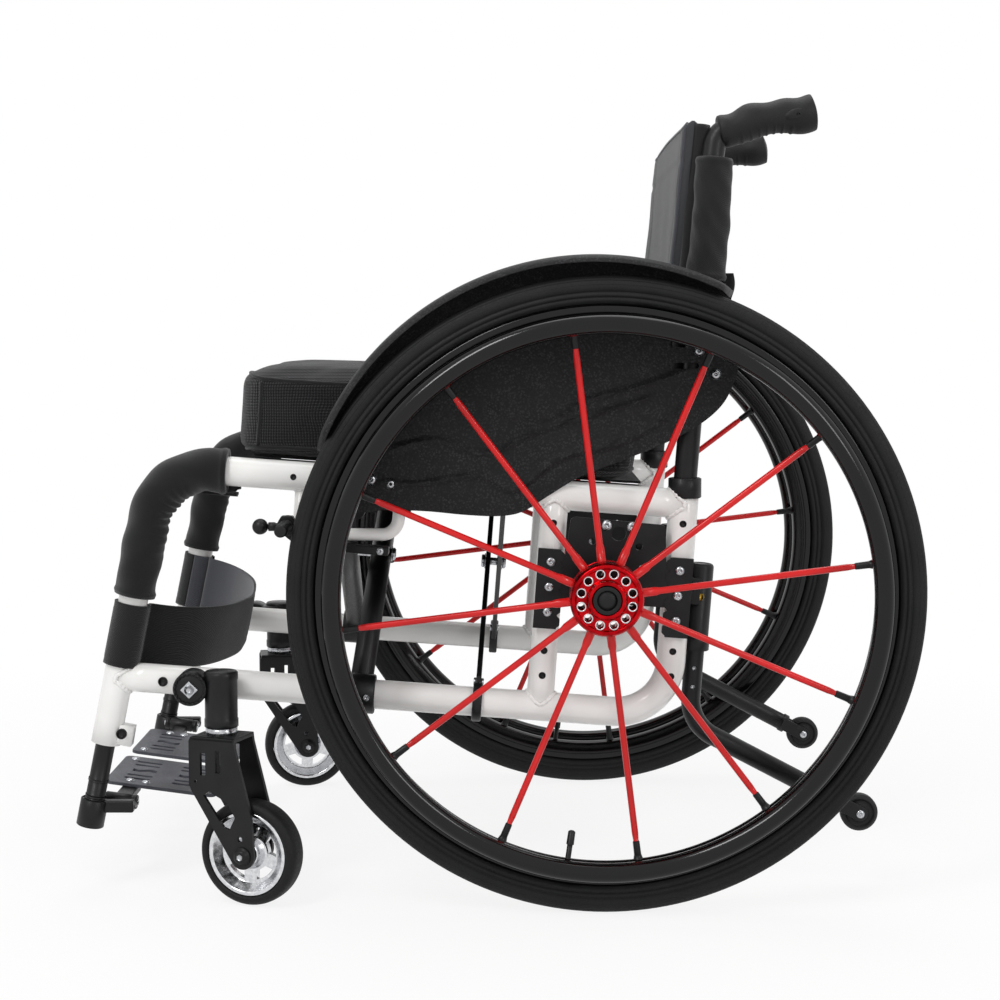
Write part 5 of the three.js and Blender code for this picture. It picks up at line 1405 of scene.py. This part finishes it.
def makeFootrest(name, side):
    p = plateParts
    hinge = overFloor(p["x"], p["y"], p["z"]) * 1000
    cs, sn = math.cos(legLean), math.sin(legLean)

    # x across, a along the plate to the rear, b above it
    def place(b, x, a):
        return np.array([x, hinge[1] + a * cs + b * sn, hinge[2] + b * cs - a * sn]) / 1000

    inner, outer, front, back = p["inner"], p["outer"], p["front"], p["front"] + p["depth"]
    outline = ring2D((inner + 8, front + 8), 8, 180, 270, 8) + ring2D((outer - 8, front + 8), 8, 270, 360, 8)
    outline += ring2D((outer - 8, back - 8), 8, 0, 90, 8) + ring2D((inner + 8, back - 8), 8, 90, 180, 8)
    sheet = makePiece(name + "_footplate_sheet", *plateShell(outline, 0, p["thickness"], place), "footplate_grey",
                      name + "_footplate_body", side, smooth=False)
    faceOutwards(sheet)
    tools = []
    for row in (front + 16, front + 64):
        for x in (34, 48, 92, 106):
            slot = ring2D((x, row + 3), 3, 180, 360, 10) + ring2D((x, row + 23), 3, 0, 180, 10)
            tools.append(plateShell(slot, -10, 15, place))
        wave = [(70 + 3 * math.sin(t * 6.283) - 4.5, row + 2 + 24 * t) for t in np.linspace(0, 1, 16)]
        wave += [(70 + 3 * math.sin(t * 6.283) + 4.5, row + 2 + 24 * t) for t in np.linspace(1, 0, 16)]
        tools.append(plateShell(wave, -10, 15, place))
    cutAway(sheet, tools, side)
    breakEdges(sheet, 0.0006, 2)
    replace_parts(sheet, name + "_footplate")
    arm = plateShell([(outer - 24, -8), (p["x"] - 4, -8), (p["x"] - 4, 8), (outer - 24, 8)], -8.5, -0.2, place)
    armPiece = makePiece(name + "_footplate_arm", *arm, "satin_black", name + "_footplate_body", side, smooth=False)
    breakEdges(armPiece, 0.0015, 3)
    knuckle = rod(place(0, p["x"], -13), place(0, p["x"], 13), 0.007, 32)
    screws = [domeHeadUp(place(p["thickness"], x, a), place(p["thickness"] + 1, x, a)) for x, a in ((116, -2), (116, 14), (24, -14), (24, 74))]
    makePiece(name + "_footplate_knuckle", *knuckle, "satin_black", name + "_footplate_body", side)
    makePiece(name + "_footplate_screws", *gather(screws), "steel", name + "_footplate_body", side)

    f = footParts
    x = frameParts["half"]
    top, bottom = onFrame(*legPoint(f["insert"])), onFrame(*legPoint(-f["end"] + 14))
    down = (bottom - top) / np.linalg.norm(bottom - top)
    shells = [sweep(np.array([top, bottom]), f["tube"] / 1000, 36)]
    clampTop = bottom - down * -0.016 * -1
    clamp = np.array([bottom - down * 0.012, bottom - down * 0.0112, bottom + down * 0.014, bottom + down * 0.0148])
    clamp = clamp + down * -0.0 + 0 * clampTop
    shells.append(sweep(clamp, np.array([0.0122, 0.0132, 0.0132, 0.0122]), 36))
    for z in (14, 30):
        ring = np.array([bottom - down * z / 1000, bottom - down * (z + 2.4) / 1000])
        shells.append(sweep(ring, 0.0099, 36))
    for a in (-13.4 - 5, 13.4):
        shells.append(rod(place(0, p["x"], a), place(0, p["x"], a + 5), 0.007, 32, sideways=(1, 0, 0)))
    pin = rod(place(0, p["x"], -19.5), place(0, p["x"], 19.5), 0.0033, 20)
    for a in (-16, 16):
        start = place(0, p["x"], a)
        shells.append(sweep(np.array([start, [x / 1000, start[1], start[2]]]), 0.0036, 16, sideways=(0, 0, 1)))
    tube = makePiece(name + "_foot_tube", *gather(shells), "satin_black", name + "_frame", side)
    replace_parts(tube, name + "_footrest_tube")
    makePiece(name + "_foot_pin", *pin, "steel", name + "_frame", side)
    spine = boxShell((x - 5, place(0, 0, -19)[1] * 1000, hinge[2] - 7), (x + 5, place(0, 0, 19)[1] * 1000, hinge[2] + 5),
                     lambda a, b, c: np.array([a, b, c]) / 1000)
    spinePiece = makePiece(name + "_foot_spine", *spine, "satin_black", name + "_frame", side, smooth=False)
    breakEdges(spinePiece, 0.002, 3)


def domeHeadUp(base, above):
    up = (above - base) / np.linalg.norm(above - base)
    places = np.array([base - up * 0.0005, base + up * 0.0004, base + up * 0.0014, base + up * 0.0019, base + up * 0.002])
    return sweep(places, np.array([0.0044, 0.0044, 0.0034, 0.0016, 0.0008]), 20)


# The plate that holds the axle: serrated strips over both posts, a web between them and a round boss.
def makeAxlePlate(name, side):
    p = frameParts
    inner, outer = 219.4, 223.9

    def place(x, y, z):
        return onFrame(x, y, z)

    pieces = []
    for centreY, toward in ((p["inner"], 1), (p["rear"], -1)):
        half = 12.5
        z = np.linspace(-40, 36, 77)
        bite = 3.2 * np.clip(np.cos((z + 2) * 2 * np.pi / 12.5), 0, 1) ** 1.2
        edge = [(centreY + toward * (half - b), h) for b, h in zip(bite, z)]
        plain = [(centreY - toward * half, h) for h in z[::-4]]
        pieces.append(plateShell(edge + plain, inner, outer, place))
    web = [(p["inner"] + 8, -12), (p["rear"] - 8, -12), (p["rear"] - 8, 20), (p["rear"] - 14, 34), (p["rear"] - 16, 66)]
    web += [(p["inner"] + 16, 68), (p["inner"] + 14, 34), (p["inner"] + 8, 20)]
    pieces.append(plateShell(softened(web, 5, 5), inner, outer - 0.6, place))
    body = makePiece(name + "_axle_carrier", *gather(pieces), "satin_black", name + "_frame", side, smooth=False)
    faceOutwards(body)
    tools = [plateShell(ring2D((y, z), r, 0, 345, 28), 190, 260, place)
             for y, z, r in ((10, 55, 7), (-14, 46, 3.4), (30, 44, 3.4), (-10, 22, 2.6), (34, 24, 2.6))]
    cutAway(body, tools, side)
    breakEdges(body, 0.0006, 2)
    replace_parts(body, name + "_axle_plate")
    boss = turned(softened([(0.204, 0.0068), (0.204, 0.0118), (0.236, 0.0118), (0.2375, 0.0105), (0.242, 0.0105), (0.242, 0.0068)], 0.0006, 3),
                  wheelCentre(0), 64)
    bossPiece = makePiece(name + "_axle_sleeve", *boss, "satin_black", name + "_frame", side)
    faceOutwards(bossPiece)
    bolts = []
    for centreY in (p["inner"], p["rear"]):
        for z in (-24, 0, 24):
            centre = onFrame(outer, centreY, z)
            bolts.append(domeHead(centre, 0.0046, 0.0026))
    bolts.append(domeHead(onFrame(outer - 0.6, -2, 62), 0.0052, 0.003))
    bolts.append(domeHead(onFrame(outer - 0.6, 22, 62), 0.0052, 0.003))
    boltPiece = makePiece(name + "_axle_plate_bolts", *gather(bolts), "steel", name + "_frame", side)
    faceOutwards(boltPiece)
    stem = rod(np.array(wheelCentre(0.196)), np.array(wheelCentre(0.2885)), 0.00635, 32, sideways=(0, 0, 1))
    stemPiece = makePiece(name + "_axle_stem", *stem, "steel", name + "_frame", side)
    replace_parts(stemPiece, name + "_axle")


antitipParts = {"x": 188.5, "y": 93.6, "top": 29, "bottom": -55, "receiver": 12, "tube": 9.3, "cornerZ": -127.4,
                "bend": 40, "rollerY": 264.9, "rollerZ": -202, "roller": 18, "width": 15}


def makeAntitip(name, side):
    a = antitipParts
    x, y = a["x"], a["y"]
    at = lambda z: onFrame(x, y, z)
    body = name + "_frame"
    r = a["receiver"]
    heights = (a["bottom"], a["bottom"] + 0.8, a["bottom"] + 11, a["bottom"] + 12, a["bottom"] + 12.5, a["top"] - 3, a["top"] - 1, a["top"])
    radii = np.array([r + 0.6, r + 1.5, r + 1.5, r + 0.8, r, r, r - 0.8, r - 2.4]) / 1000
    receiver = [sweep(np.array([at(z) for z in heights]), radii, 40)]
    holder = boxShell((x + 11, 74, -10), (203, y, 16), onFrame)
    holderPiece = makePiece(name + "_receiver_bracket", *holder, "satin_black", body, side, smooth=False)
    breakEdges(holderPiece, 0.0015, 3)
    band = sweep(np.array([onFrame(205, 70, -8), onFrame(205, 70, 14)]), 0.0153, 40)
    piece = makePiece(name + "_receiver_tube", *gather(receiver + [band]), "satin_black", body, side)
    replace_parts(piece, name + "_antitip_receiver")
    button = rod(at(-2) + [0.0112, 0, 0], at(-2) + [0.0142, 0, 0], 0.0036, 24, sideways=(0, 0, 1))
    makePiece(name + "_receiver_button", *button, "brass", body, side)
    corner, roller = onFrame(x, y, a["cornerZ"]), onFrame(x, a["rollerY"], a["rollerZ"])
    along = (roller - corner) / np.linalg.norm(roller - corner)
    end = roller - along * (a["roller"] + 4) / 1000
    path = bentPath([at(a["top"] - 40), corner, end], [a["bend"] / 1000], 16)
    tube = [sweep(path, a["tube"] / 1000, 36)]
    tube.append(sweep(np.array([end - along * 0.006, end - along * 0.0055, end, end + along * 0.0008]), np.array([0.0096, 0.0104, 0.0104, 0.009]), 36))
    across = np.cross([1.0, 0, 0], along)
    inside = a["width"] / 2 + 0.4
    ears = []
    for s2 in (-1, 1):
        shape = ring2D((0, 0), 7, -90, 90, 16) + [(-24, 7), (-28, 4), (-28, -4), (-24, -7)]
        low = inside if s2 > 0 else -inside - 3
        ears.append(plateShell(shape, low, low + 3, lambda o, u, v: roller + np.array([o / 1000, 0, 0]) + along * u / 1000 + across * v / 1000))
    slide = name + "_antitip"
    tubePiece = makePiece(name + "_antitip_leg", *gather(tube), "satin_black", slide, side)
    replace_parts(tubePiece, name + "_antitip_tube")
    earPiece = makePiece(name + "_antitip_ears", *gather(ears), "satin_black", slide, side, smooth=False)
    breakEdges(earPiece, 0.0007, 2)
    pin = [domeHead(roller + [s2 * (inside + 3) / 1000, 0, 0], 0.0042, 0.0022, out=s2, count=24) for s2 in (-1, 1)]
    pinPiece = makePiece(name + "_antitip_pin", *gather(pin), "steel", slide, side)
    faceOutwards(pinPiece)
    h, rr = a["width"] / 2000, a["roller"] / 1000
    line = [(-h, 0.0034), (-h, 0.008), (-h + 0.0015, 0.0095), (-h + 0.0015, 0.0125), (-h, 0.0138), (-h, rr - 0.003), (-h + 0.003, rr)]
    line += [(h - 0.003, rr), (h, rr - 0.003), (h, 0.0138), (h - 0.0015, 0.0125), (h - 0.0015, 0.0095), (h, 0.008), (h, 0.0034)]
    rollerPiece = makePiece(name + "_antitip_tread", *turned(softened(line, 0.0009, 3), roller, 64), "grip_rubber", slide + "_wheel", side)
    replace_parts(faceOutwards(rollerPiece), name + "_antitip_roller")
    holes = [rod(onFrame(x, y, z) + [0.0088, 0, 0], onFrame(x, y, z) + [0.0098, 0, 0], 0.0022, 16, sideways=(0, 0, 1)) for z in (-72, -90)]
    makePiece(name + "_antitip_pips", *gather(holes), "steel", slide, side)


print("casters, footrests, axle plates, anti-tippers")
for name, side in sides.items():
    makeCaster(name, side)
    makeFootrest(name, side)
    makeAxlePlate(name, side)
    makeAntitip(name, side)


# --- scissor brace
braceParts = {"tube": 11, "rail": 11, "railX": 172, "railZ": 88, "railFront": -345, "railRear": 30,
              "front": {"left": -225, "right": -260}, "rear": {"left": -112, "right": -100}, "flat": 5, "flatWidth": 24}


# One half of the scissor: collars on the lower tube, a round bar, a flat bar and the far seat rail.
def makeBrace(name, side):
    b, f = braceParts, frameParts
    body = name + "_brace_half"
    foot = lambda y: onFrame(side * f["half"], y, f["lower"])
    head = lambda y: onFrame(-side * b["railX"], y, b["railZ"])
    frontY, rearY = b["front"][name], b["rear"][name]
    up = np.array([0, -math.sin(frameLean) * 0, 1.0])
    rail = sweep(np.array([onFrame(-side * b["railX"], y, b["railZ"]) for y in (b["railFront"], b["railFront"] + 1.5, b["railRear"] - 1.5, b["railRear"])]),
                 np.array([0.0095, 0.011, 0.011, 0.0095]), 40)
    bar = sweep(np.array([foot(frontY), head(frontY)]), b["tube"] / 1000, 40, sideways=(0, 1, 0))
    collars = []
    for y, length in ((frontY, 30), (rearY, 9)):
        h = length / 2
        line = np.array([foot(y - h), foot(y - h + 1.2), foot(y + h - 1.2), foot(y + h)])
        outerWall = sweep(line, np.array([0.0178, 0.019, 0.019, 0.0178]), 48)[0][: 4 * 48].reshape(4, 48, 3)
        innerWall = sweep(line, 0.0145, 48)[0][: 4 * 48].reshape(4, 48, 3)
        collars.append((np.concatenate([outerWall, innerWall[::-1]]), gridFaces(8, 48, closeRows=True, closeColumns=True)))
    piece = makePiece(name + "_brace_tubes", *gather([rail, bar] + collars), "satin_black", body)
    faceOutwards(piece)
    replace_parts(piece, name + "_brace")
    start, end = foot(rearY), head(rearY)
    along = (end - start) / np.linalg.norm(end - start)
    back = onFrame(0, 1, 0) - onFrame(0, 0, 0)
    back /= np.linalg.norm(back)
    across = np.cross(along, back)
    length = np.linalg.norm(end - start) * 1000
    outline = [(13, -6), (24, -12), (length - 24, -12), (length - 8, -6), (length - 8, 6), (length - 24, 12), (24, 12), (13, 6)]
    place = lambda o, u, v: start + back * o / 1000 + along * u / 1000 + across * v / 1000
    flat = makePiece(name + "_brace_strap", *plateShell(outline, -b["flat"] / 2, b["flat"] / 2, place), "satin_black", body, smooth=False)
    breakEdges(flat, 0.0009, 3)
    collarBolts = []
    out = np.array([side * 1.0, 0, 0])
    for y in (frontY - 8, frontY + 8):
        collarBolts.append(rod(foot(y) + out * 0.0186, foot(y) + out * 0.0212, 0.0034, 20, sideways=(0, 0, 1)))
    for u in (30, length - 30):
        collarBolts.append(rod(place(-b["flat"] / 2 - 2.4, u, 0), place(-b["flat"] / 2 + 0.2, u, 0), 0.0042, 20))
        collarBolts.append(rod(place(b["flat"] / 2 - 0.2, u, 0), place(b["flat"] / 2 + 2.4, u, 0), 0.0042, 6))
    makePiece(name + "_brace_bolts", *gather(collarBolts), "steel", body)
    # end plugs of the seat rail
    caps = [rod(onFrame(-side * b["railX"], y, b["railZ"]), onFrame(-side * b["railX"], y + step, b["railZ"]), 0.0098, 32)
            for y, step in ((b["railFront"] + 0.5, -2.5), (b["railRear"] - 0.5, 2.5))]
    makePiece(name + "_rail_plugs", *gather(caps), "grip_rubber", body)


# The bolts through the scissor's crossing, with washers, and nuts with a nylon ring.
def makeBraceBolts():
    low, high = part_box("front_brace_bolt")
    for label in ("front_brace_bolt", "rear_brace_bolt"):
        low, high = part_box(label)
        middle = np.array([(low[0] + high[0]) / 2, 0, (low[2] + high[2]) / 2])
        back = onFrame(0, 1, 0) - onFrame(0, 0, 0)
        back /= np.linalg.norm(back)
        first = middle * [1, 0, 1] + [0, low[1] + 0.0005, 0]
        last = middle * [1, 0, 1] + [0, high[1] - 0.0005, 0]
        tilt = (last - first)[1] * math.tan(frameLean) / 2
        first, last = first + [0, 0, tilt], last - [0, 0, tilt]
        along = (last - first) / np.linalg.norm(last - first)
        shells = [
            rod(first, first + along * 0.0036, 0.0073, 6),
            rod(first + along * 0.0034, first + along * 0.0042, 0.0082, 32),
            rod(first, last, 0.004, 20),
            rod(last - along * 0.0042, last - along * 0.0034, 0.0082, 32),
            rod(last - along * 0.0036, last - along * 0.0006, 0.0073, 6),
            rod(last - along * 0.0008, last, 0.0056, 28),
        ]
        bolt = makePiece(label + "_set", *gather(shells), "steel", "left_brace_half")
        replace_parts(bolt, label)


# --- brakes
brakeParts = {"pivotY": -268, "pivotZ": 331, "shoeY": -298.5, "shoeZ": 357, "loopFront": 31, "loop": 6, "half": 205}


# The lever: a slotted link from the pivot to the shoe, a ribbed round shoe against the tyre, a hexagon clamp
# and a ball knob on a short neck.
def makeBrake(name, side):
    b = brakeParts
    x = b["half"]
    pivot = overFloor(0, b["pivotY"], b["pivotZ"])
    shoe = overFloor(0, b["shoeY"], b["shoeZ"])
    top = b["loopFront"] - b["loop"] + 0.2
    hang = boxShell((x - 8, -290, 17), (x + 9, -206, top), onFrame)
    bracket = makePiece(name + "_brake_clamp", *hang, "satin_black", name + "_frame", side, smooth=False)
    breakEdges(bracket, 0.0016, 3)
    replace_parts(bracket, name + "_brake_bracket")
    py = (pivot[1] - wheel["y"]) * 1000
    cheekShape = ring2D((py, b["pivotZ"]), 10.5, 180, 360, 16) + [(py + 13, 344), (py + 13, 346), (py - 13, 346), (py - 13, 344)]
    cheek = plateShell(cheekShape, x + 5, x + 14.6, overFloor)
    cheekPiece = makePiece(name + "_brake_cheek", *cheek, "satin_black", name + "_frame", side, smooth=False)
    breakEdges(cheekPiece, 0.0012, 3)
    pin = rod(pivot + [(x + 8) / 1000, 0, 0], pivot + [(x + 25) / 1000, 0, 0], 0.0039, 24, sideways=(0, 0, 1))
    head = domeHead(pivot + [(x + 24.6) / 1000, 0, 0], 0.006, 0.0028)
    clampBolts = [domeHead(onFrame(x + 9, y, 21), 0.0036, 0.002, count=24) for y in (-282, -214)]
    pinPiece = makePiece(name + "_brake_pin", *gather([pin, head] + clampBolts), "steel", name + "_frame", side)
    faceOutwards(pinPiece)

    inner = x + 15.4
    ahead = shoe - pivot
    reach = np.linalg.norm(ahead) * 1000
    along = ahead / np.linalg.norm(ahead)
    across = np.cross([1.0, 0, 0], along)
    place = lambda o, u, v: pivot + np.array([o / 1000, 0, 0]) + along * u / 1000 + across * v / 1000
    link = ring2D((0, 0), 8.6, 90, 270, 16) + ring2D((reach, 0), 9.4, -90, 90, 16)
    arm = makePiece(name + "_brake_link", *plateShell(link, inner, inner + 5.6, place), "satin_black", name + "_brake", side, smooth=False)
    faceOutwards(arm)
    slot = ring2D((13, 0), 2.4, 90, 270, 10) + ring2D((reach - 14, 0), 2.4, -90, 90, 10)
    cutAway(arm, [plateShell(slot, inner - 5, inner + 12, place), plateShell(ring2D((0, 0), 4.4, 0, 345, 24), inner - 5, inner + 12, place)], side)
    breakEdges(arm, 0.0006, 2)
    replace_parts(arm, name + "_brake_lever")
    # shoe: ridged like a file so that it bites the tyre
    count = 90
    t = np.linspace(0, 1, count)
    xs = inner + 1 + t * (282 - inner - 1)
    line = shoe * [0, 1, 1] + np.stack([xs / 1000, 0 * t, 0 * t], 1)
    radius = 0.0056 + 0.0005 * np.cos(t * 2 * np.pi * 16)
    radius[0], radius[-1] = 0.0045, 0.0045
    shoePiece = makePiece(name + "_brake_shoe", *sweep(line, radius, 32, sideways=(0, 0, 1)), "satin_black", name + "_brake", side)
    faceOutwards(shoePiece)
    hexPlace = lambda o, u, v: shoe + np.array([o, u, v]) / 1000
    hexagon = [(10.5 * math.cos(math.radians(a)), 10.5 * math.sin(math.radians(a))) for a in range(0, 360, 60)]
    hexShell = plateShell(hexagon, inner - 0.4, inner + 9.6, hexPlace)
    hexPiece = makePiece(name + "_brake_hex", *hexShell, "satin_black", name + "_brake", side, smooth=False)
    breakEdges(hexPiece, 0.001, 3)
    knobX = (x + 32) / 1000
    base = shoe * [0, 1, 1] + [knobX, 0, 0]
    steps = np.array([0.0, -0.004, -0.006, -0.009, -0.0105, -0.016, -0.0165])
    neckLine = base + np.stack([0 * steps, steps, 0 * steps], 1)
    neck = sweep(neckLine, np.array([0.0052, 0.0052, 0.0034, 0.0034, 0.0042, 0.0042, 0.003]), 28)
    a = np.linspace(0.12, np.pi - 0.02, 26)
    ballLine = base + [0, -0.024, 0] + np.stack([0 * a, 0.0075 * np.cos(a), 0 * a], 1)
    ball = sweep(ballLine, 0.0075 * np.sin(a), 40)
    knob = makePiece(name + "_brake_knob", *gather([neck, ball]), "satin_black", name + "_brake", side)
    faceOutwards(knob)


print("brace and brakes")
for name, side in sides.items():
    makeBrace(name, side)
    makeBrake(name, side)
makeBraceBolts()


# --- floor, light and camera
stageParts = {"floor": 30.0, "world": 0.5, "key": 46, "fill": 20, "top": 30}
cameraParts = {"place": (2.0806, 0.0188, 0.5418), "yaw": 0.36, "down": 4.95, "lens": 71.3}


# A pale floor that the camera sees as white except where the chair shades it.
def makeStage():
    size = stageParts["floor"]
    corners = [(-size, -size, -0.0005), (size, -size, -0.0005), (size, size, -0.0005), (-size, size, -0.0005)]
    floor = makePiece("studio_floor", corners, [[0, 1, 2, 3]], None, None)
    tree, shader, place = startMaterial("studio_floor", Roughness=0.9)
    shader.inputs["Base Color"].default_value = colour("#F4F4F4")
    output = tree.nodes["Material Output"]
    white = addNode(tree, "ShaderNodeEmission", {"Color": (1, 1, 1, 1), "Strength": 1.0})
    path = addNode(tree, "ShaderNodeLightPath").outputs
    seen = maths(tree, "MAXIMUM", path["Is Camera Ray"], maths(tree, "MAXIMUM", path["Is Glossy Ray"], path["Is Transmission Ray"]))
    away = addNode(tree, "ShaderNodeVectorMath", {0: place}, operation="LENGTH").outputs["Value"]
    near = stretch(tree, away, 0.5, 1.3, 0.86, 1.0)  # the rest keeps the shadow close to the wheels
    share = maths(tree, "MULTIPLY", seen, near)
    mix = addNode(tree, "ShaderNodeMixShader", {0: share, 1: shader.outputs[0], 2: white.outputs[0]})
    tree.links.new(mix.outputs[0], output.inputs["Surface"])
    floor.data.materials.append(materials["studio_floor"])

    world = bpy.data.worlds.new("studio")
    bpy.context.scene.world = world
    world.use_nodes = True
    tree = world.node_tree
    background = tree.nodes["Background"]
    path = addNode(tree, "ShaderNodeLightPath").outputs
    seen = maths(tree, "MAXIMUM", path["Is Camera Ray"], maths(tree, "MAXIMUM", path["Is Glossy Ray"], path["Is Transmission Ray"]))
    background.inputs["Color"].default_value = (1, 1, 1, 1)
    tree.links.new(stretch(tree, seen, 0, 1, stageParts["world"], 1.0), background.inputs["Strength"])

    def areaLight(name, place, size, power):
        data = bpy.data.lights.new(name, "AREA")
        data.shape = "RECTANGLE"
        data.size, data.size_y = size
        data.energy = power
        lamp = bpy.data.objects.new(name, data)
        lamp.location = place
        aim = Vector((0, 0, 0.4)) - Vector(place)
        lamp.rotation_euler = aim.to_track_quat("-Z", "Y").to_euler()
        bpy.context.collection.objects.link(lamp)

    areaLight("key_light", (2.2, -1.4, 2.8), (0.5, 1.8), stageParts["key"])
    areaLight("fill_light", (2.4, 2.2, 1.8), (0.6, 1.4), stageParts["fill"])
    areaLight("top_light", (-0.6, 0.3, 3.2), (2.0, 2.0), stageParts["top"])

    yaw, down = math.radians(cameraParts["yaw"]), math.radians(cameraParts["down"])
    ahead = Vector((-math.cos(yaw) * math.cos(down), -math.sin(yaw) * math.cos(down), -math.sin(down)))
    data = bpy.data.cameras.new("camera")
    data.lens = cameraParts["lens"]
    data.sensor_width = 36
    camera = bpy.data.objects.new("camera", data)
    camera.location = cameraParts["place"]
    camera.rotation_euler = ahead.to_track_quat("-Z", "Y").to_euler()
    bpy.context.collection.objects.link(camera)
    bpy.context.scene.camera = camera
    bpy.context.scene.view_settings.view_transform = "Standard"


print("stage")
makeStage()
